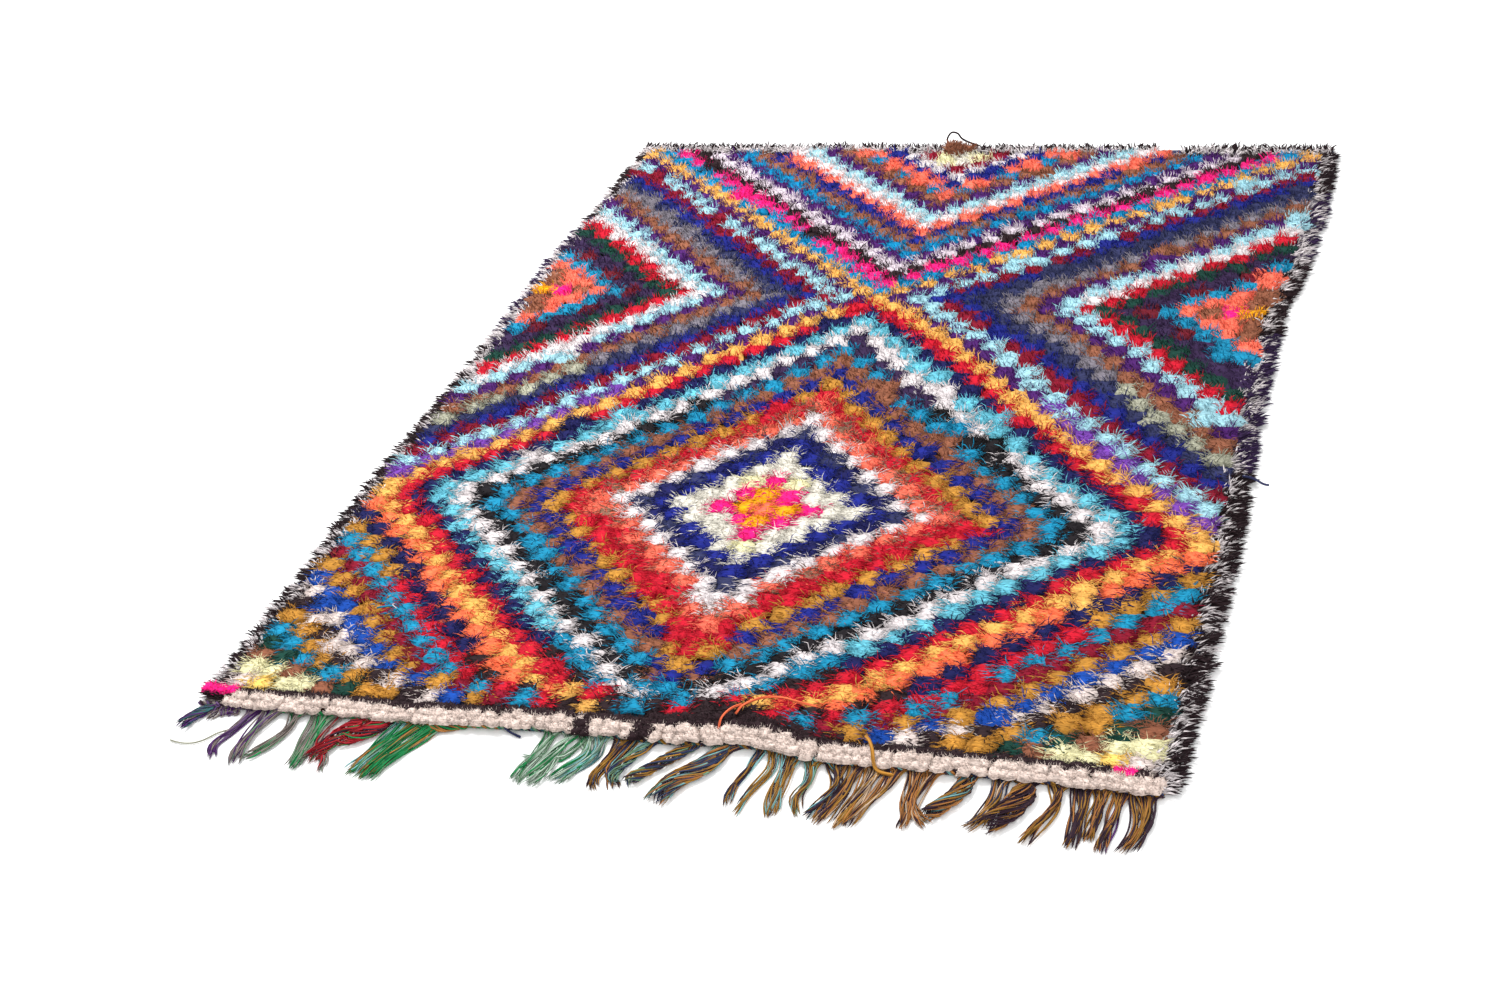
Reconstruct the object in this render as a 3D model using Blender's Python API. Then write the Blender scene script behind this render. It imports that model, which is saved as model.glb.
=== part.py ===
# Boucherouite rug: a shag slab of knotted tufts, and the fringe along its near end.
# Metres, +Z up. +X runs across the rug and +Y along it, away from the fringed end.
# The origin is on the floor, under the middle of the whole rug.

import math
import random
from collections import namedtuple

import bmesh
import bpy
from mathutils import Vector

# Driving sizes
RUG_WIDTH = 1.30        # across, over the usual reach of the side locks
RUG_LENGTH = 1.72       # along, from the near edge to the far locks
LEFT_REACH = 0.012      # the longest left lock past the rug's width
RIGHT_REACH = 0.017     # the longest right lock past the rug's width
FAR_REACH = 0.009       # the longest far lock past the rug's length
FRINGE_REACH = 0.096    # the longest strand past the near edge

# Shag
COLUMNS = 44            # steps of the tuft grid across
ROWS = 56               # steps of the tuft grid along, behind the end band
SIDE_INSET = 0.014      # from the rug's width in to the root of the side locks
FAR_INSET = 0.012       # from the rug's length in to the root of the far locks
TUFT_TOP = 0.028
TUFT_DIP = 0.012
TUFT_UNEVEN = 0.002
TUFT_DRIFT = 0.003      # how far a tuft leans off its place in the grid
RIM_HEIGHT = 0.012
BAND_DEPTH = 0.029      # the plush band across the near end
BAND_TOP = 0.021
BAND_CREASE = 0.014     # the dip behind the band
BAND_CROWN = 0.45       # where the band is highest, as a share of its depth
RIPPLE_HEIGHT = 0.009   # a low ripple behind the band
RIPPLE_CENTRE = Vector((0.755, 0.060))
RIPPLE_ACROSS = 0.100
RIPPLE_ALONG = 0.045

# Locks at the rim
LOCK_LENGTH = 0.014
LOCK_UNEVEN = 0.008
LOCK_TIP_WIDTH = 0.005
LOCK_TIP_HEIGHT = 0.004
LOCK_TURN = 0.35        # radians that a lock may lie off square
LOCK_SHARE = 0.50       # how many of the rim's half steps carry a lock
LOCK_START = 0.022      # the first lock's place along the rug, clear of the fringe

# Fringe
STRIP_GAP = 0.0003      # between the shag and the knotted strip
STRIP_DEPTH = 0.010
STRIP_KNOT = 0.008      # top of a knot
STRIP_DIP = 0.006       # between two knots
STRIP_BACK = 0.005
STRIP_START = 0.004
STRIP_END = 1.288
STRAND_WIDTH = 0.0034
STRAND_HEIGHT = 0.0036
STRAND_STEPS = 3
STRAND_TAPER = 0.30     # how much thinner a strand is at its tip
STRAND_SWAY = 0.003
STRAND_UNEVEN = 0.006   # how much shorter a strand may be than its bunch

SEED = 11

# How far the edges lie outside a true rectangle; a share runs along the rug's length
SideEdge = namedtuple("SideEdge", "share left right")
SIDE_EDGES = (
    SideEdge(share=0.00, left=0.000, right=0.004),
    SideEdge(share=0.15, left=0.000, right=0.008),
    SideEdge(share=0.32, left=0.008, right=0.004),
    SideEdge(share=0.47, left=0.001, right=-0.008),
    SideEdge(share=0.65, left=0.005, right=-0.012),
    SideEdge(share=0.76, left=0.007, right=0.008),
    SideEdge(share=0.88, left=-0.007, right=0.014),
    SideEdge(share=1.00, left=-0.008, right=0.008),
)

# How far the near edge lies inside a true rectangle; a share runs across the rug's width
NearEdge = namedtuple("NearEdge", "share inward")
NEAR_EDGES = (
    NearEdge(share=0.00, inward=-0.003),
    NearEdge(share=0.22, inward=0.000),
    NearEdge(share=0.40, inward=0.012),
    NearEdge(share=0.50, inward=0.011),
    NearEdge(share=0.60, inward=0.018),
    NearEdge(share=0.67, inward=0.005),
    NearEdge(share=0.84, inward=0.008),
    NearEdge(share=1.00, inward=0.003),
)

# Bunches of the fringe, from the left: the middle and the width of each at the strip
# and at its tips, how far it reaches past the near edge, and its strands
Bunch = namedtuple("Bunch", "root tip spread gather reach strands")
BUNCHES = (
    Bunch(root=0.016, tip=0.004, spread=0.015, gather=0.012, reach=0.046, strands=3),
    Bunch(root=0.052, tip=0.048, spread=0.018, gather=0.012, reach=0.024, strands=3),
    Bunch(root=0.088, tip=0.077, spread=0.018, gather=0.015, reach=0.086, strands=4),
    Bunch(root=0.117, tip=0.117, spread=0.020, gather=0.015, reach=0.091, strands=4),
    Bunch(root=0.163, tip=0.141, spread=0.022, gather=0.015, reach=0.078, strands=4),
    Bunch(root=0.198, tip=0.205, spread=0.028, gather=0.024, reach=0.087, strands=5),
    Bunch(root=0.231, tip=0.233, spread=0.016, gather=0.012, reach=0.085, strands=3),
    Bunch(root=0.271, tip=0.260, spread=0.038, gather=0.022, reach=0.040, strands=4),
    Bunch(root=0.309, tip=0.284, spread=0.018, gather=0.014, reach=0.088, strands=4),
    Bunch(root=0.357, tip=0.309, spread=0.058, gather=0.027, reach=0.096, strands=6),
    Bunch(root=0.520, tip=0.512, spread=0.022, gather=0.016, reach=0.075, strands=4),
    Bunch(root=0.562, tip=0.541, spread=0.044, gather=0.026, reach=0.074, strands=5),
    Bunch(root=0.605, tip=0.612, spread=0.024, gather=0.028, reach=0.072, strands=5),
    Bunch(root=0.641, tip=0.644, spread=0.014, gather=0.012, reach=0.058, strands=3),
    Bunch(root=0.718, tip=0.685, spread=0.060, gather=0.030, reach=0.087, strands=6),
    Bunch(root=0.785, tip=0.774, spread=0.010, gather=0.010, reach=0.081, strands=3),
    Bunch(root=0.806, tip=0.797, spread=0.010, gather=0.010, reach=0.085, strands=3),
    Bunch(root=0.830, tip=0.843, spread=0.015, gather=0.015, reach=0.089, strands=4),
    Bunch(root=0.857, tip=0.869, spread=0.015, gather=0.015, reach=0.082, strands=4),
    Bunch(root=0.888, tip=0.893, spread=0.016, gather=0.014, reach=0.080, strands=4),
    Bunch(root=0.926, tip=0.919, spread=0.026, gather=0.020, reach=0.085, strands=5),
    Bunch(root=0.969, tip=0.946, spread=0.036, gather=0.024, reach=0.088, strands=6),
    Bunch(root=1.011, tip=0.996, spread=0.030, gather=0.023, reach=0.081, strands=5),
    Bunch(root=1.053, tip=1.029, spread=0.034, gather=0.020, reach=0.076, strands=5),
    Bunch(root=1.099, tip=1.070, spread=0.026, gather=0.022, reach=0.073, strands=5),
    Bunch(root=1.135, tip=1.099, spread=0.032, gather=0.021, reach=0.072, strands=5),
    Bunch(root=1.167, tip=1.141, spread=0.018, gather=0.014, reach=0.085, strands=4),
    Bunch(root=1.199, tip=1.201, spread=0.020, gather=0.016, reach=0.082, strands=4),
    Bunch(root=1.230, tip=1.230, spread=0.020, gather=0.017, reach=0.085, strands=4),
    Bunch(root=1.264, tip=1.256, spread=0.028, gather=0.020, reach=0.085, strands=5),
)


def ease(share):
    """Go from 0 to 1 with level ends."""
    return 0.5 - 0.5 * math.cos(math.pi * share)


def read_table(rows, column, share):
    """Read one column between two rows of a table, in a soft line."""
    for before, after in zip(rows, rows[1:]):
        if share <= after.share:
            part = max(0.0, share - before.share) / (after.share - before.share)
            start = getattr(before, column)
            return start + (getattr(after, column) - start) * ease(part)
    return getattr(rows[-1], column)


def side_edge(y, side):
    """Give x of the left or right root line of the side locks."""
    outward = read_table(SIDE_EDGES, side, y / RUG_LENGTH)
    if side == "left":
        return SIDE_INSET - outward
    return RUG_WIDTH - SIDE_INSET + outward


def near_corners():
    """Give the near edge's points, one for each column of the tuft grid."""
    left = side_edge(0.0, "left")
    right = side_edge(0.0, "right")
    points = []
    for column in range(COLUMNS + 1):
        x = left + (right - left) * column / COLUMNS
        points.append((x, read_table(NEAR_EDGES, "inward", x / RUG_WIDTH)))
    return points


def near_edge(x, points):
    """Give y of the near edge, on the straight runs between its points."""
    for (x0, y0), (x1, y1) in zip(points, points[1:]):
        if x <= x1:
            return y0 + (y1 - y0) * (x - x0) / (x1 - x0)
    return points[-1][1]


def ripple(x, y):
    """Give the height that the ripple adds to the top."""
    across = (x - RIPPLE_CENTRE.x) / RIPPLE_ACROSS
    along = (y - RIPPLE_CENTRE.y) / RIPPLE_ALONG
    return RIPPLE_HEIGHT * math.exp(-across ** 2 - along ** 2)


def row_places():
    """Give where each row of the top lies, as a depth in the band or a share behind it."""
    band = [0.0, BAND_DEPTH * BAND_CROWN, BAND_DEPTH]
    behind = [row / ROWS for row in range(1, ROWS + 1)]
    return band, behind


def top_rows(bm, rng, near_points):
    """Make the points of the lumpy top, row by row."""
    band, behind = row_places()
    far = RUG_LENGTH - FAR_INSET
    rows = []
    for row in range(len(band) + len(behind)):
        verts = []
        for column in range(COLUMNS + 1):
            near_y = near_points[column][1]
            if row < len(band):
                y = near_y + band[row]
            else:
                start = near_y + BAND_DEPTH
                y = start + (far - start) * behind[row - len(band)]
            left = side_edge(y if row else 0.0, "left")
            right = side_edge(y if row else 0.0, "right")
            x = left + (right - left) * column / COLUMNS
            on_rim = column in (0, COLUMNS) or row in (0, len(band) + len(behind) - 1)
            if on_rim:
                z = RIM_HEIGHT + rng.uniform(-0.5, 0.5) * TUFT_UNEVEN
            elif row < len(band):
                z = BAND_TOP if row == 1 else BAND_CREASE
                z += rng.uniform(-0.5, 0.5) * TUFT_UNEVEN
            else:
                high = (row + column) % 2 == 0
                z = (TUFT_TOP if high else TUFT_DIP) + rng.uniform(-1, 1) * TUFT_UNEVEN
                x += rng.uniform(-1, 1) * TUFT_DRIFT
                y += rng.uniform(-1, 1) * TUFT_DRIFT
            if row > 0:
                z += ripple(x, y)
            verts.append(bm.verts.new((x, y, z)))
        rows.append(verts)
    return rows


def fill_top(bm, rows):
    """Join the top's points so that each high one is a tuft of its own."""
    for row, (near, far) in enumerate(zip(rows, rows[1:])):
        for column in range(COLUMNS):
            a, b = near[column], near[column + 1]
            c, d = far[column + 1], far[column]
            if (row + column) % 2 == 0:
                bm.faces.new((a, b, d))
                bm.faces.new((b, c, d))
            else:
                bm.faces.new((a, b, c))
                bm.faces.new((a, c, d))


def rim_loop(rows):
    """List the top's outer points, round the rug from its near left corner."""
    near = rows[0]
    right = [row[-1] for row in rows[1:-1]]
    far = rows[-1][::-1]
    left = [row[0] for row in rows[-2:0:-1]]
    return near + right + far + left


def close_below(bm, rim):
    """Hang the sides from the rim and close the flat underside."""
    feet = [bm.verts.new((vert.co.x, vert.co.y, 0.0)) for vert in rim]
    sides = []
    for index in range(len(rim)):
        after = (index + 1) % len(rim)
        side = bm.faces.new((rim[after], rim[index], feet[index], feet[after]))
        sides.append(side)
    bm.faces.new(feet[::-1])
    return sides


def halve(bm, side):
    """Split a side face upright, into the roots of two locks."""
    level = []
    for edge in side.edges:
        a, b = edge.verts
        if abs(a.co.z - b.co.z) < abs(a.co.x - b.co.x) + abs(a.co.y - b.co.y):
            level.append(edge)
    middles = bmesh.ops.bisect_edges(bm, edges=level, cuts=1)["geom_split"]
    middles = [item for item in middles if isinstance(item, bmesh.types.BMVert)]
    new, _ = bmesh.utils.face_split(side, middles[0], middles[1])
    return [side, new]


def pull(bm, face, centre, side, width, height):
    """Draw a face out to a new place and size, with its lower edge on the floor."""
    middle = face.calc_center_median()
    grown = bmesh.ops.extrude_discrete_faces(bm, faces=[face])["faces"][0]
    for vert in grown.verts:
        offset = vert.co - middle
        reach = math.copysign(width / 2, offset.dot(side))
        top = height if offset.z > 0 else 0.0
        vert.co = Vector((centre.x, centre.y, top)) + side * reach
    return grown


def limit_to_reach(point):
    """Keep a lock's tip inside the rug's overall size."""
    point.x = min(max(point.x, -LEFT_REACH), RUG_WIDTH + RIGHT_REACH)
    point.y = min(point.y, RUG_LENGTH + FAR_REACH)
    return point


def pull_lock(bm, face, rng):
    """Draw one ragged lock out of the rim."""
    face.normal_update()
    outward = Vector((face.normal.x, face.normal.y, 0.0)).normalized()
    side = Vector((-outward.y, outward.x, 0.0))
    turn = rng.uniform(-LOCK_TURN, LOCK_TURN)
    way = outward * math.cos(turn) + side * math.sin(turn)
    length = LOCK_LENGTH + rng.uniform(-LOCK_UNEVEN, LOCK_UNEVEN)
    tip = face.calc_center_median() + way * length
    half = side * LOCK_TIP_WIDTH / 2
    tip = limit_to_reach(tip + half) - half
    tip = limit_to_reach(tip - half) + half
    pull(bm, face, tip, side, LOCK_TIP_WIDTH, LOCK_TIP_HEIGHT)


def add_locks(bm, sides, rng):
    """Give the left, far and right rims their locks; the near one carries the fringe."""
    roots = []
    for side in sides:
        side.normal_update()
        if side.normal.y > -0.7:
            roots.extend(halve(bm, side))
    for face in roots:
        clear = face.calc_center_median().y > LOCK_START
        if clear and rng.random() < LOCK_SHARE:
            pull_lock(bm, face, rng)


def finish(bm, name, colour, roughness):
    """Turn a mesh into a named object with its own material."""
    bmesh.ops.recalc_face_normals(bm, faces=bm.faces)
    mesh = bpy.data.meshes.new(name)
    bm.to_mesh(mesh)
    bm.free()
    material = bpy.data.materials.new(name)
    material.use_nodes = True
    shader = material.node_tree.nodes["Principled BSDF"]
    shader.inputs["Base Color"].default_value = (*colour, 1.0)
    shader.inputs["Roughness"].default_value = roughness
    shader.inputs["Metallic"].default_value = 0.0
    mesh.materials.append(material)
    thing = bpy.data.objects.new(name, mesh)
    bpy.context.scene.collection.objects.link(thing)
    return thing


def make_shag(near_points):
    """Make the slab of tufts, from the near edge to the far one."""
    rng = random.Random(SEED)
    bm = bmesh.new()
    rows = top_rows(bm, rng, near_points)
    fill_top(bm, rows)
    sides = close_below(bm, rim_loop(rows))
    bmesh.ops.recalc_face_normals(bm, faces=bm.faces)
    add_locks(bm, sides, rng)
    return finish(bm, "shag", colour=(0.42, 0.07, 0.06), roughness=0.95)


def strand_roots():
    """Give each strand's bunch and its x at the strip and at the tip, from the left."""
    strands = []
    for bunch in BUNCHES:
        for number in range(bunch.strands):
            off = number / (bunch.strands - 1) - 0.5
            root = bunch.root + off * bunch.spread
            tip = bunch.tip + off * bunch.gather
            strands.append((bunch, root, tip))
    return strands


def strip_turns(near_points):
    """List where the strip turns with the shag's edge, clear of the strands."""
    roots = [root for _, root, _ in strand_roots()]
    turns = []
    for x, _ in near_points:
        clear = min(abs(x - root) for root in roots) > STRAND_WIDTH
        if clear and STRIP_START < x < STRIP_END:
            turns.append(x)
    return turns


def strip_ring(bm, x, near_points, ridge):
    """Make the strip's outline at one place across the rug."""
    nearby = (x - STRAND_WIDTH, x, x + STRAND_WIDTH)
    back = min(near_edge(place, near_points) for place in nearby) - STRIP_GAP
    front = back - STRIP_DEPTH
    outline = (
        (back, 0.0),
        (front, 0.0),
        (front, STRAND_HEIGHT),
        ((back + front) / 2, ridge),
        (back, STRIP_BACK),
    )
    return [bm.verts.new((x, y, z)) for y, z in outline]


def bridge_rings(bm, left, right):
    """Join two outlines of the strip and give the face that a strand grows from."""
    faces = []
    count = len(left)
    for index in range(count):
        after = (index + 1) % count
        faces.append(bm.faces.new((left[index], left[after], right[after], right[index])))
    return faces[1]


def pull_strand(bm, face, bunch, tip_x, sway, reach):
    """Draw one strand out of the strip, level on the floor."""
    start = face.calc_center_median()
    way_y = -reach - start.y

    def place(share):
        x = start.x + (tip_x - start.x) * ease(share) + sway * math.sin(math.pi * share)
        return Vector((x, start.y + way_y * share, 0.0))

    for step in range(1, STRAND_STEPS + 1):
        share = step / STRAND_STEPS
        small = 0.5 / STRAND_STEPS
        ahead = place(min(1.0, share + small)) - place(share - small)
        side = Vector((-ahead.y, ahead.x, 0.0)).normalized()
        thin = 1.0 - STRAND_TAPER * share
        face = pull(bm, face, place(share), side, STRAND_WIDTH * thin, STRAND_HEIGHT * thin)
    for vert in face.verts:
        vert.co.y = max(vert.co.y, -FRINGE_REACH)


def make_fringe(near_points):
    """Make the knotted strip along the near edge with its bunches of strands."""
    rng = random.Random(SEED)
    bm = bmesh.new()
    sway = {bunch: rng.uniform(-STRAND_SWAY, STRAND_SWAY) for bunch in BUNCHES}
    turns = strip_turns(near_points)
    ring = strip_ring(bm, STRIP_START, near_points, STRIP_DIP)
    bm.faces.new(ring)
    roots = []
    for bunch, root_x, tip_x in strand_roots():
        while turns and turns[0] < root_x:
            turn = strip_ring(bm, turns.pop(0), near_points, STRIP_KNOT)
            bridge_rings(bm, ring, turn)
            ring = turn
        left = strip_ring(bm, root_x - STRAND_WIDTH / 2, near_points, STRIP_DIP)
        right = strip_ring(bm, root_x + STRAND_WIDTH / 2, near_points, STRIP_KNOT)
        bridge_rings(bm, ring, left)
        roots.append((bridge_rings(bm, left, right), bunch, tip_x))
        ring = right
    end = strip_ring(bm, STRIP_END, near_points, STRIP_DIP)
    bridge_rings(bm, ring, end)
    bm.faces.new(end[::-1])
    for face, bunch, tip_x in roots:
        reach = bunch.reach
        if bunch.reach < FRINGE_REACH:
            reach -= rng.uniform(0.0, STRAND_UNEVEN)
        pull_strand(bm, face, bunch, tip_x, sway[bunch], reach)
    return finish(bm, "fringe", colour=(0.30, 0.20, 0.09), roughness=0.85)


def main():
    """Make both pieces, with the origin under the middle of the whole rug."""
    for thing in list(bpy.data.objects):
        bpy.data.objects.remove(thing)
    near_points = near_corners()
    pieces = [make_shag(near_points), make_fringe(near_points)]
    middle_x = (RUG_WIDTH + RIGHT_REACH - LEFT_REACH) / 2
    middle_y = (RUG_LENGTH + FAR_REACH - FRINGE_REACH) / 2
    for piece in pieces:
        piece.location = (-middle_x, -middle_y, 0.0)


main()
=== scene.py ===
import math

import bpy
import numpy as np
from mathutils import Matrix, Vector


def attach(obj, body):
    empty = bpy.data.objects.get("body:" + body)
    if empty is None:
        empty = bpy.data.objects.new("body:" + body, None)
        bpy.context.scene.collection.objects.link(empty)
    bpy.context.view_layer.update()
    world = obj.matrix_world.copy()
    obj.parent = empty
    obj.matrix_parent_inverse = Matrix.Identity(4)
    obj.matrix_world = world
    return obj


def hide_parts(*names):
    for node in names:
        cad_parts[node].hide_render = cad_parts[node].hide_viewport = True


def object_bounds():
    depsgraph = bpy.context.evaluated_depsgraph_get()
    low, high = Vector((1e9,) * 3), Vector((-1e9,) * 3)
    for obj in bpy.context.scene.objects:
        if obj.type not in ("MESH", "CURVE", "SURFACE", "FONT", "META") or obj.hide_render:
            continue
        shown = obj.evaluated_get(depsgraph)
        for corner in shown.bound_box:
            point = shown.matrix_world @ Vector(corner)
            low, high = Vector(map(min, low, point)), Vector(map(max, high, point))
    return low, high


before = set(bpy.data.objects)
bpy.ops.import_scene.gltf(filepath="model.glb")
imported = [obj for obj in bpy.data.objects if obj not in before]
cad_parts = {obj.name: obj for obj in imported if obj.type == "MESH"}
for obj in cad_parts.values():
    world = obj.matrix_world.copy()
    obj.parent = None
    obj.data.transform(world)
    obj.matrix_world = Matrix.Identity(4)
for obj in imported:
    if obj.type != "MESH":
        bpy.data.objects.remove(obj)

cadLow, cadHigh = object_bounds()

# The rug lies in its own frame here: x from its left edge, y from its near edge
rug = {
    "width": 1.30,
    "length": 1.72,
    "leftReach": 0.012,    # longest side lock past the left edge
    "fringeReach": 0.096,  # longest fringe yarn past the near edge
    "clothThick": 0.003,
    "clothFoot": 0.0006,   # underside above the floor
    "rippleHeight": 0.009,
    "rippleCentre": (0.755, 0.060),
    "rippleSpread": (0.100, 0.045),
    "seed": 7,
}
corner = np.array((cadLow.x + rug["leftReach"], cadLow.y + rug["fringeReach"], 0.0))
dice = np.random.default_rng(rug["seed"])
pieces = {}

# How far the edges stray from a true rectangle, outwards at the sides and inwards at the near end
sideWander = {
    "share": [0.00, 0.15, 0.32, 0.47, 0.65, 0.76, 0.88, 1.00],
    "left": [0.000, 0.000, 0.008, 0.001, 0.005, 0.007, -0.007, -0.008],
    "right": [0.004, 0.008, 0.004, -0.008, -0.012, 0.008, 0.014, 0.008],
}
nearWander = {
    "share": [0.00, 0.22, 0.40, 0.50, 0.60, 0.67, 0.84, 1.00],
    "inward": [-0.003, 0.000, 0.012, 0.011, 0.018, 0.005, 0.008, 0.003],
    "fade": 0.25,  # metres behind the edge where the tufts lie true again
}


def softLine(table, column, share):
    places = np.array(table["share"])
    values = np.array(table[column])
    share = np.clip(share, 0.0, 1.0)
    row = np.clip(np.searchsorted(places, share) - 1, 0, len(places) - 2)
    part = (share - places[row]) / (places[row + 1] - places[row])
    return values[row] + (values[row + 1] - values[row]) * ease(part)


def ease(part):
    return 0.5 - 0.5 * np.cos(np.pi * part)


def nearEdge(x):
    return softLine(nearWander, "inward", x / rug["width"])


def ontoCloth(u, y):
    # a share of the width and a distance from the near edge, onto the uneven cloth
    share = y / rug["length"]
    left = -softLine(sideWander, "left", share)
    right = rug["width"] + softLine(sideWander, "right", share)
    x = left + (right - left) * u
    return x, y + nearEdge(x) * np.clip(1 - y / nearWander["fade"], 0.0, 1.0)


def clothHeight(x, y):
    across = (x - rug["rippleCentre"][0]) / rug["rippleSpread"][0]
    along = (y - rug["rippleCentre"][1]) / rug["rippleSpread"][1]
    return rug["clothFoot"] + rug["rippleHeight"] * np.exp(-across ** 2 - along ** 2)


def linear(red, green, blue):
    # a dye as seen, 0 to 255, to linear light
    seen = np.array((red, green, blue)) / 255
    return np.where(seen <= 0.04045, seen / 12.92, ((seen + 0.055) / 1.055) ** 2.4)


# Yarn on hand, as it looks in the pile
dyes = {
    "cream": (230, 225, 212),
    "limeCream": (236, 230, 182),
    "white": (228, 219, 220),
    "shell": (222, 206, 200),
    "pearl": (216, 197, 187),
    "lavender": (222, 208, 218),
    "sky": (104, 190, 210),
    "paleSky": (166, 214, 226),
    "turquoise": (24, 140, 180),
    "deepTurquoise": (0, 134, 184),
    "bright": (20, 72, 164),
    "royal": (28, 38, 132),
    "navy": (26, 28, 84),
    "slate": (50, 54, 92),
    "violet": (120, 66, 170),
    "plum": (76, 30, 104),
    "aubergine": (56, 38, 74),
    "magenta": (246, 28, 128),
    "red": (202, 22, 46),
    "crimson": (136, 16, 42),
    "maroon": (112, 24, 40),
    "salmon": (252, 116, 92),
    "coral": (255, 118, 76),
    "saffron": (252, 172, 16),
    "gold": (240, 180, 92),
    "yellow": (250, 208, 110),
    "ochre": (194, 136, 54),
    "brown": (148, 92, 68),
    "taupe": (146, 112, 92),
    "grey": (128, 122, 132),
    "stone": (172, 172, 152),
    "forest": (22, 66, 56),
    "blackBrown": (46, 31, 35),
    "black": (28, 24, 28),
}


class Wire:
    # one socket of a material, so that sums read as sums
    def __init__(self, tree, socket=None):
        self.tree = tree
        self.socket = socket

    def node(self, kind, settings=None, sockets=None, out=0):
        made = self.tree.nodes.new(kind)
        for name, value in (settings or {}).items():
            if name == "stops":
                self.setStops(made.color_ramp, value)
            else:
                setattr(made, name, value)
        for name, value in (sockets or {}).items():
            if isinstance(value, Wire):
                self.tree.links.new(value.socket, made.inputs[name])
            else:
                made.inputs[name].default_value = value
        return Wire(self.tree, made.outputs[out])

    def setStops(self, ramp, stops):
        while len(ramp.elements) < len(stops):
            ramp.elements.new(1.0)
        for element, (place, colour) in zip(ramp.elements, stops):
            element.position = place
            element.color = (*colour, 1.0)

    def maths(self, operation, first, second):
        return self.node("ShaderNodeMath", {"operation": operation}, {0: first, 1: second})

    def __add__(self, other):
        return self.maths("ADD", self, other)

    def __radd__(self, other):
        return self.maths("ADD", other, self)

    def __sub__(self, other):
        return self.maths("SUBTRACT", self, other)

    def __rsub__(self, other):
        return self.maths("SUBTRACT", other, self)

    def __mul__(self, other):
        return self.maths("MULTIPLY", self, other)

    def __rmul__(self, other):
        return self.maths("MULTIPLY", other, self)

    def scaled(self, amount):
        # a colour or vector, by a value
        settings = {"operation": "SCALE"}
        return self.node("ShaderNodeVectorMath", settings, {0: self, "Scale": amount})


def newFinish(name, roughness=0.9, sheen=0.0):
    finish = bpy.data.materials.new(name)
    finish.use_nodes = True
    shader = finish.node_tree.nodes["Principled BSDF"]
    shader.inputs["Roughness"].default_value = roughness
    shader.inputs["Specular IOR Level"].default_value = 0.1
    shader.inputs["Sheen Weight"].default_value = sheen
    shader.inputs["Sheen Roughness"].default_value = 0.6
    return finish, Wire(finish.node_tree), shader


def feed(wire, shader, name):
    wire.tree.links.new(wire.socket, shader.inputs[name])


def attribute(start, name, out):
    return start.node("ShaderNodeAttribute", {"attribute_name": name}, out=out)


pileLook = {
    "rootLight": 0.36,   # how much light a tuft keeps at its root
    "fibreScale": (120.0, 480.0, 480.0),
    "fibreDepth": 0.90,  # light and dark fibres in one yarn, partly painted shade between the fibres
    "bump": 0.0008,
    "roughness": 0.9,
    "sheen": 0.02,
}


def pileFinish(name):
    # loose fibres: painted shade at the root, lighter to the tip, and flecks along the length that are
    # partly fibre tone and partly painted shade between the fibres
    finish, start, shader = newFinish(name, pileLook["roughness"], pileLook["sheen"])
    dye = attribute(start, "dye", 0)
    along = attribute(start, "along", 2)
    place = start.node("ShaderNodeTexCoord", out=3)
    stretched = start.node("ShaderNodeVectorMath", {"operation": "MULTIPLY"}, {
        0: place, 1: pileLook["fibreScale"]})
    fibre = start.node("ShaderNodeTexNoise", {}, {
        "Vector": stretched, "Scale": 1.0, "Detail": 2.0, "Distortion": 0.8})
    depth = pileLook["fibreDepth"]
    # painted shade: the dye is darkened at the root and by the fibre flecks
    light = (pileLook["rootLight"] + (1 - pileLook["rootLight"]) * along) * (
        fibre * (2 * depth) + (1 - depth))
    feed(dye.scaled(light), shader, "Base Color")
    feed(fibre * 0.2 + (pileLook["roughness"] - 0.1), shader, "Roughness")
    bump = start.node("ShaderNodeBump", {}, {
        "Height": fibre, "Distance": pileLook["bump"], "Strength": 0.5})
    feed(bump, shader, "Normal")
    return finish


plyLook = {
    "pitch": 0.050,     # from one groove to the next along the yarn
    "grooveShade": 0.45,
    # painted shade in the groove between the plies
    "bump": 0.0012,
    "roughness": 0.8,
    "sheen": 0.03,
}


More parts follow.
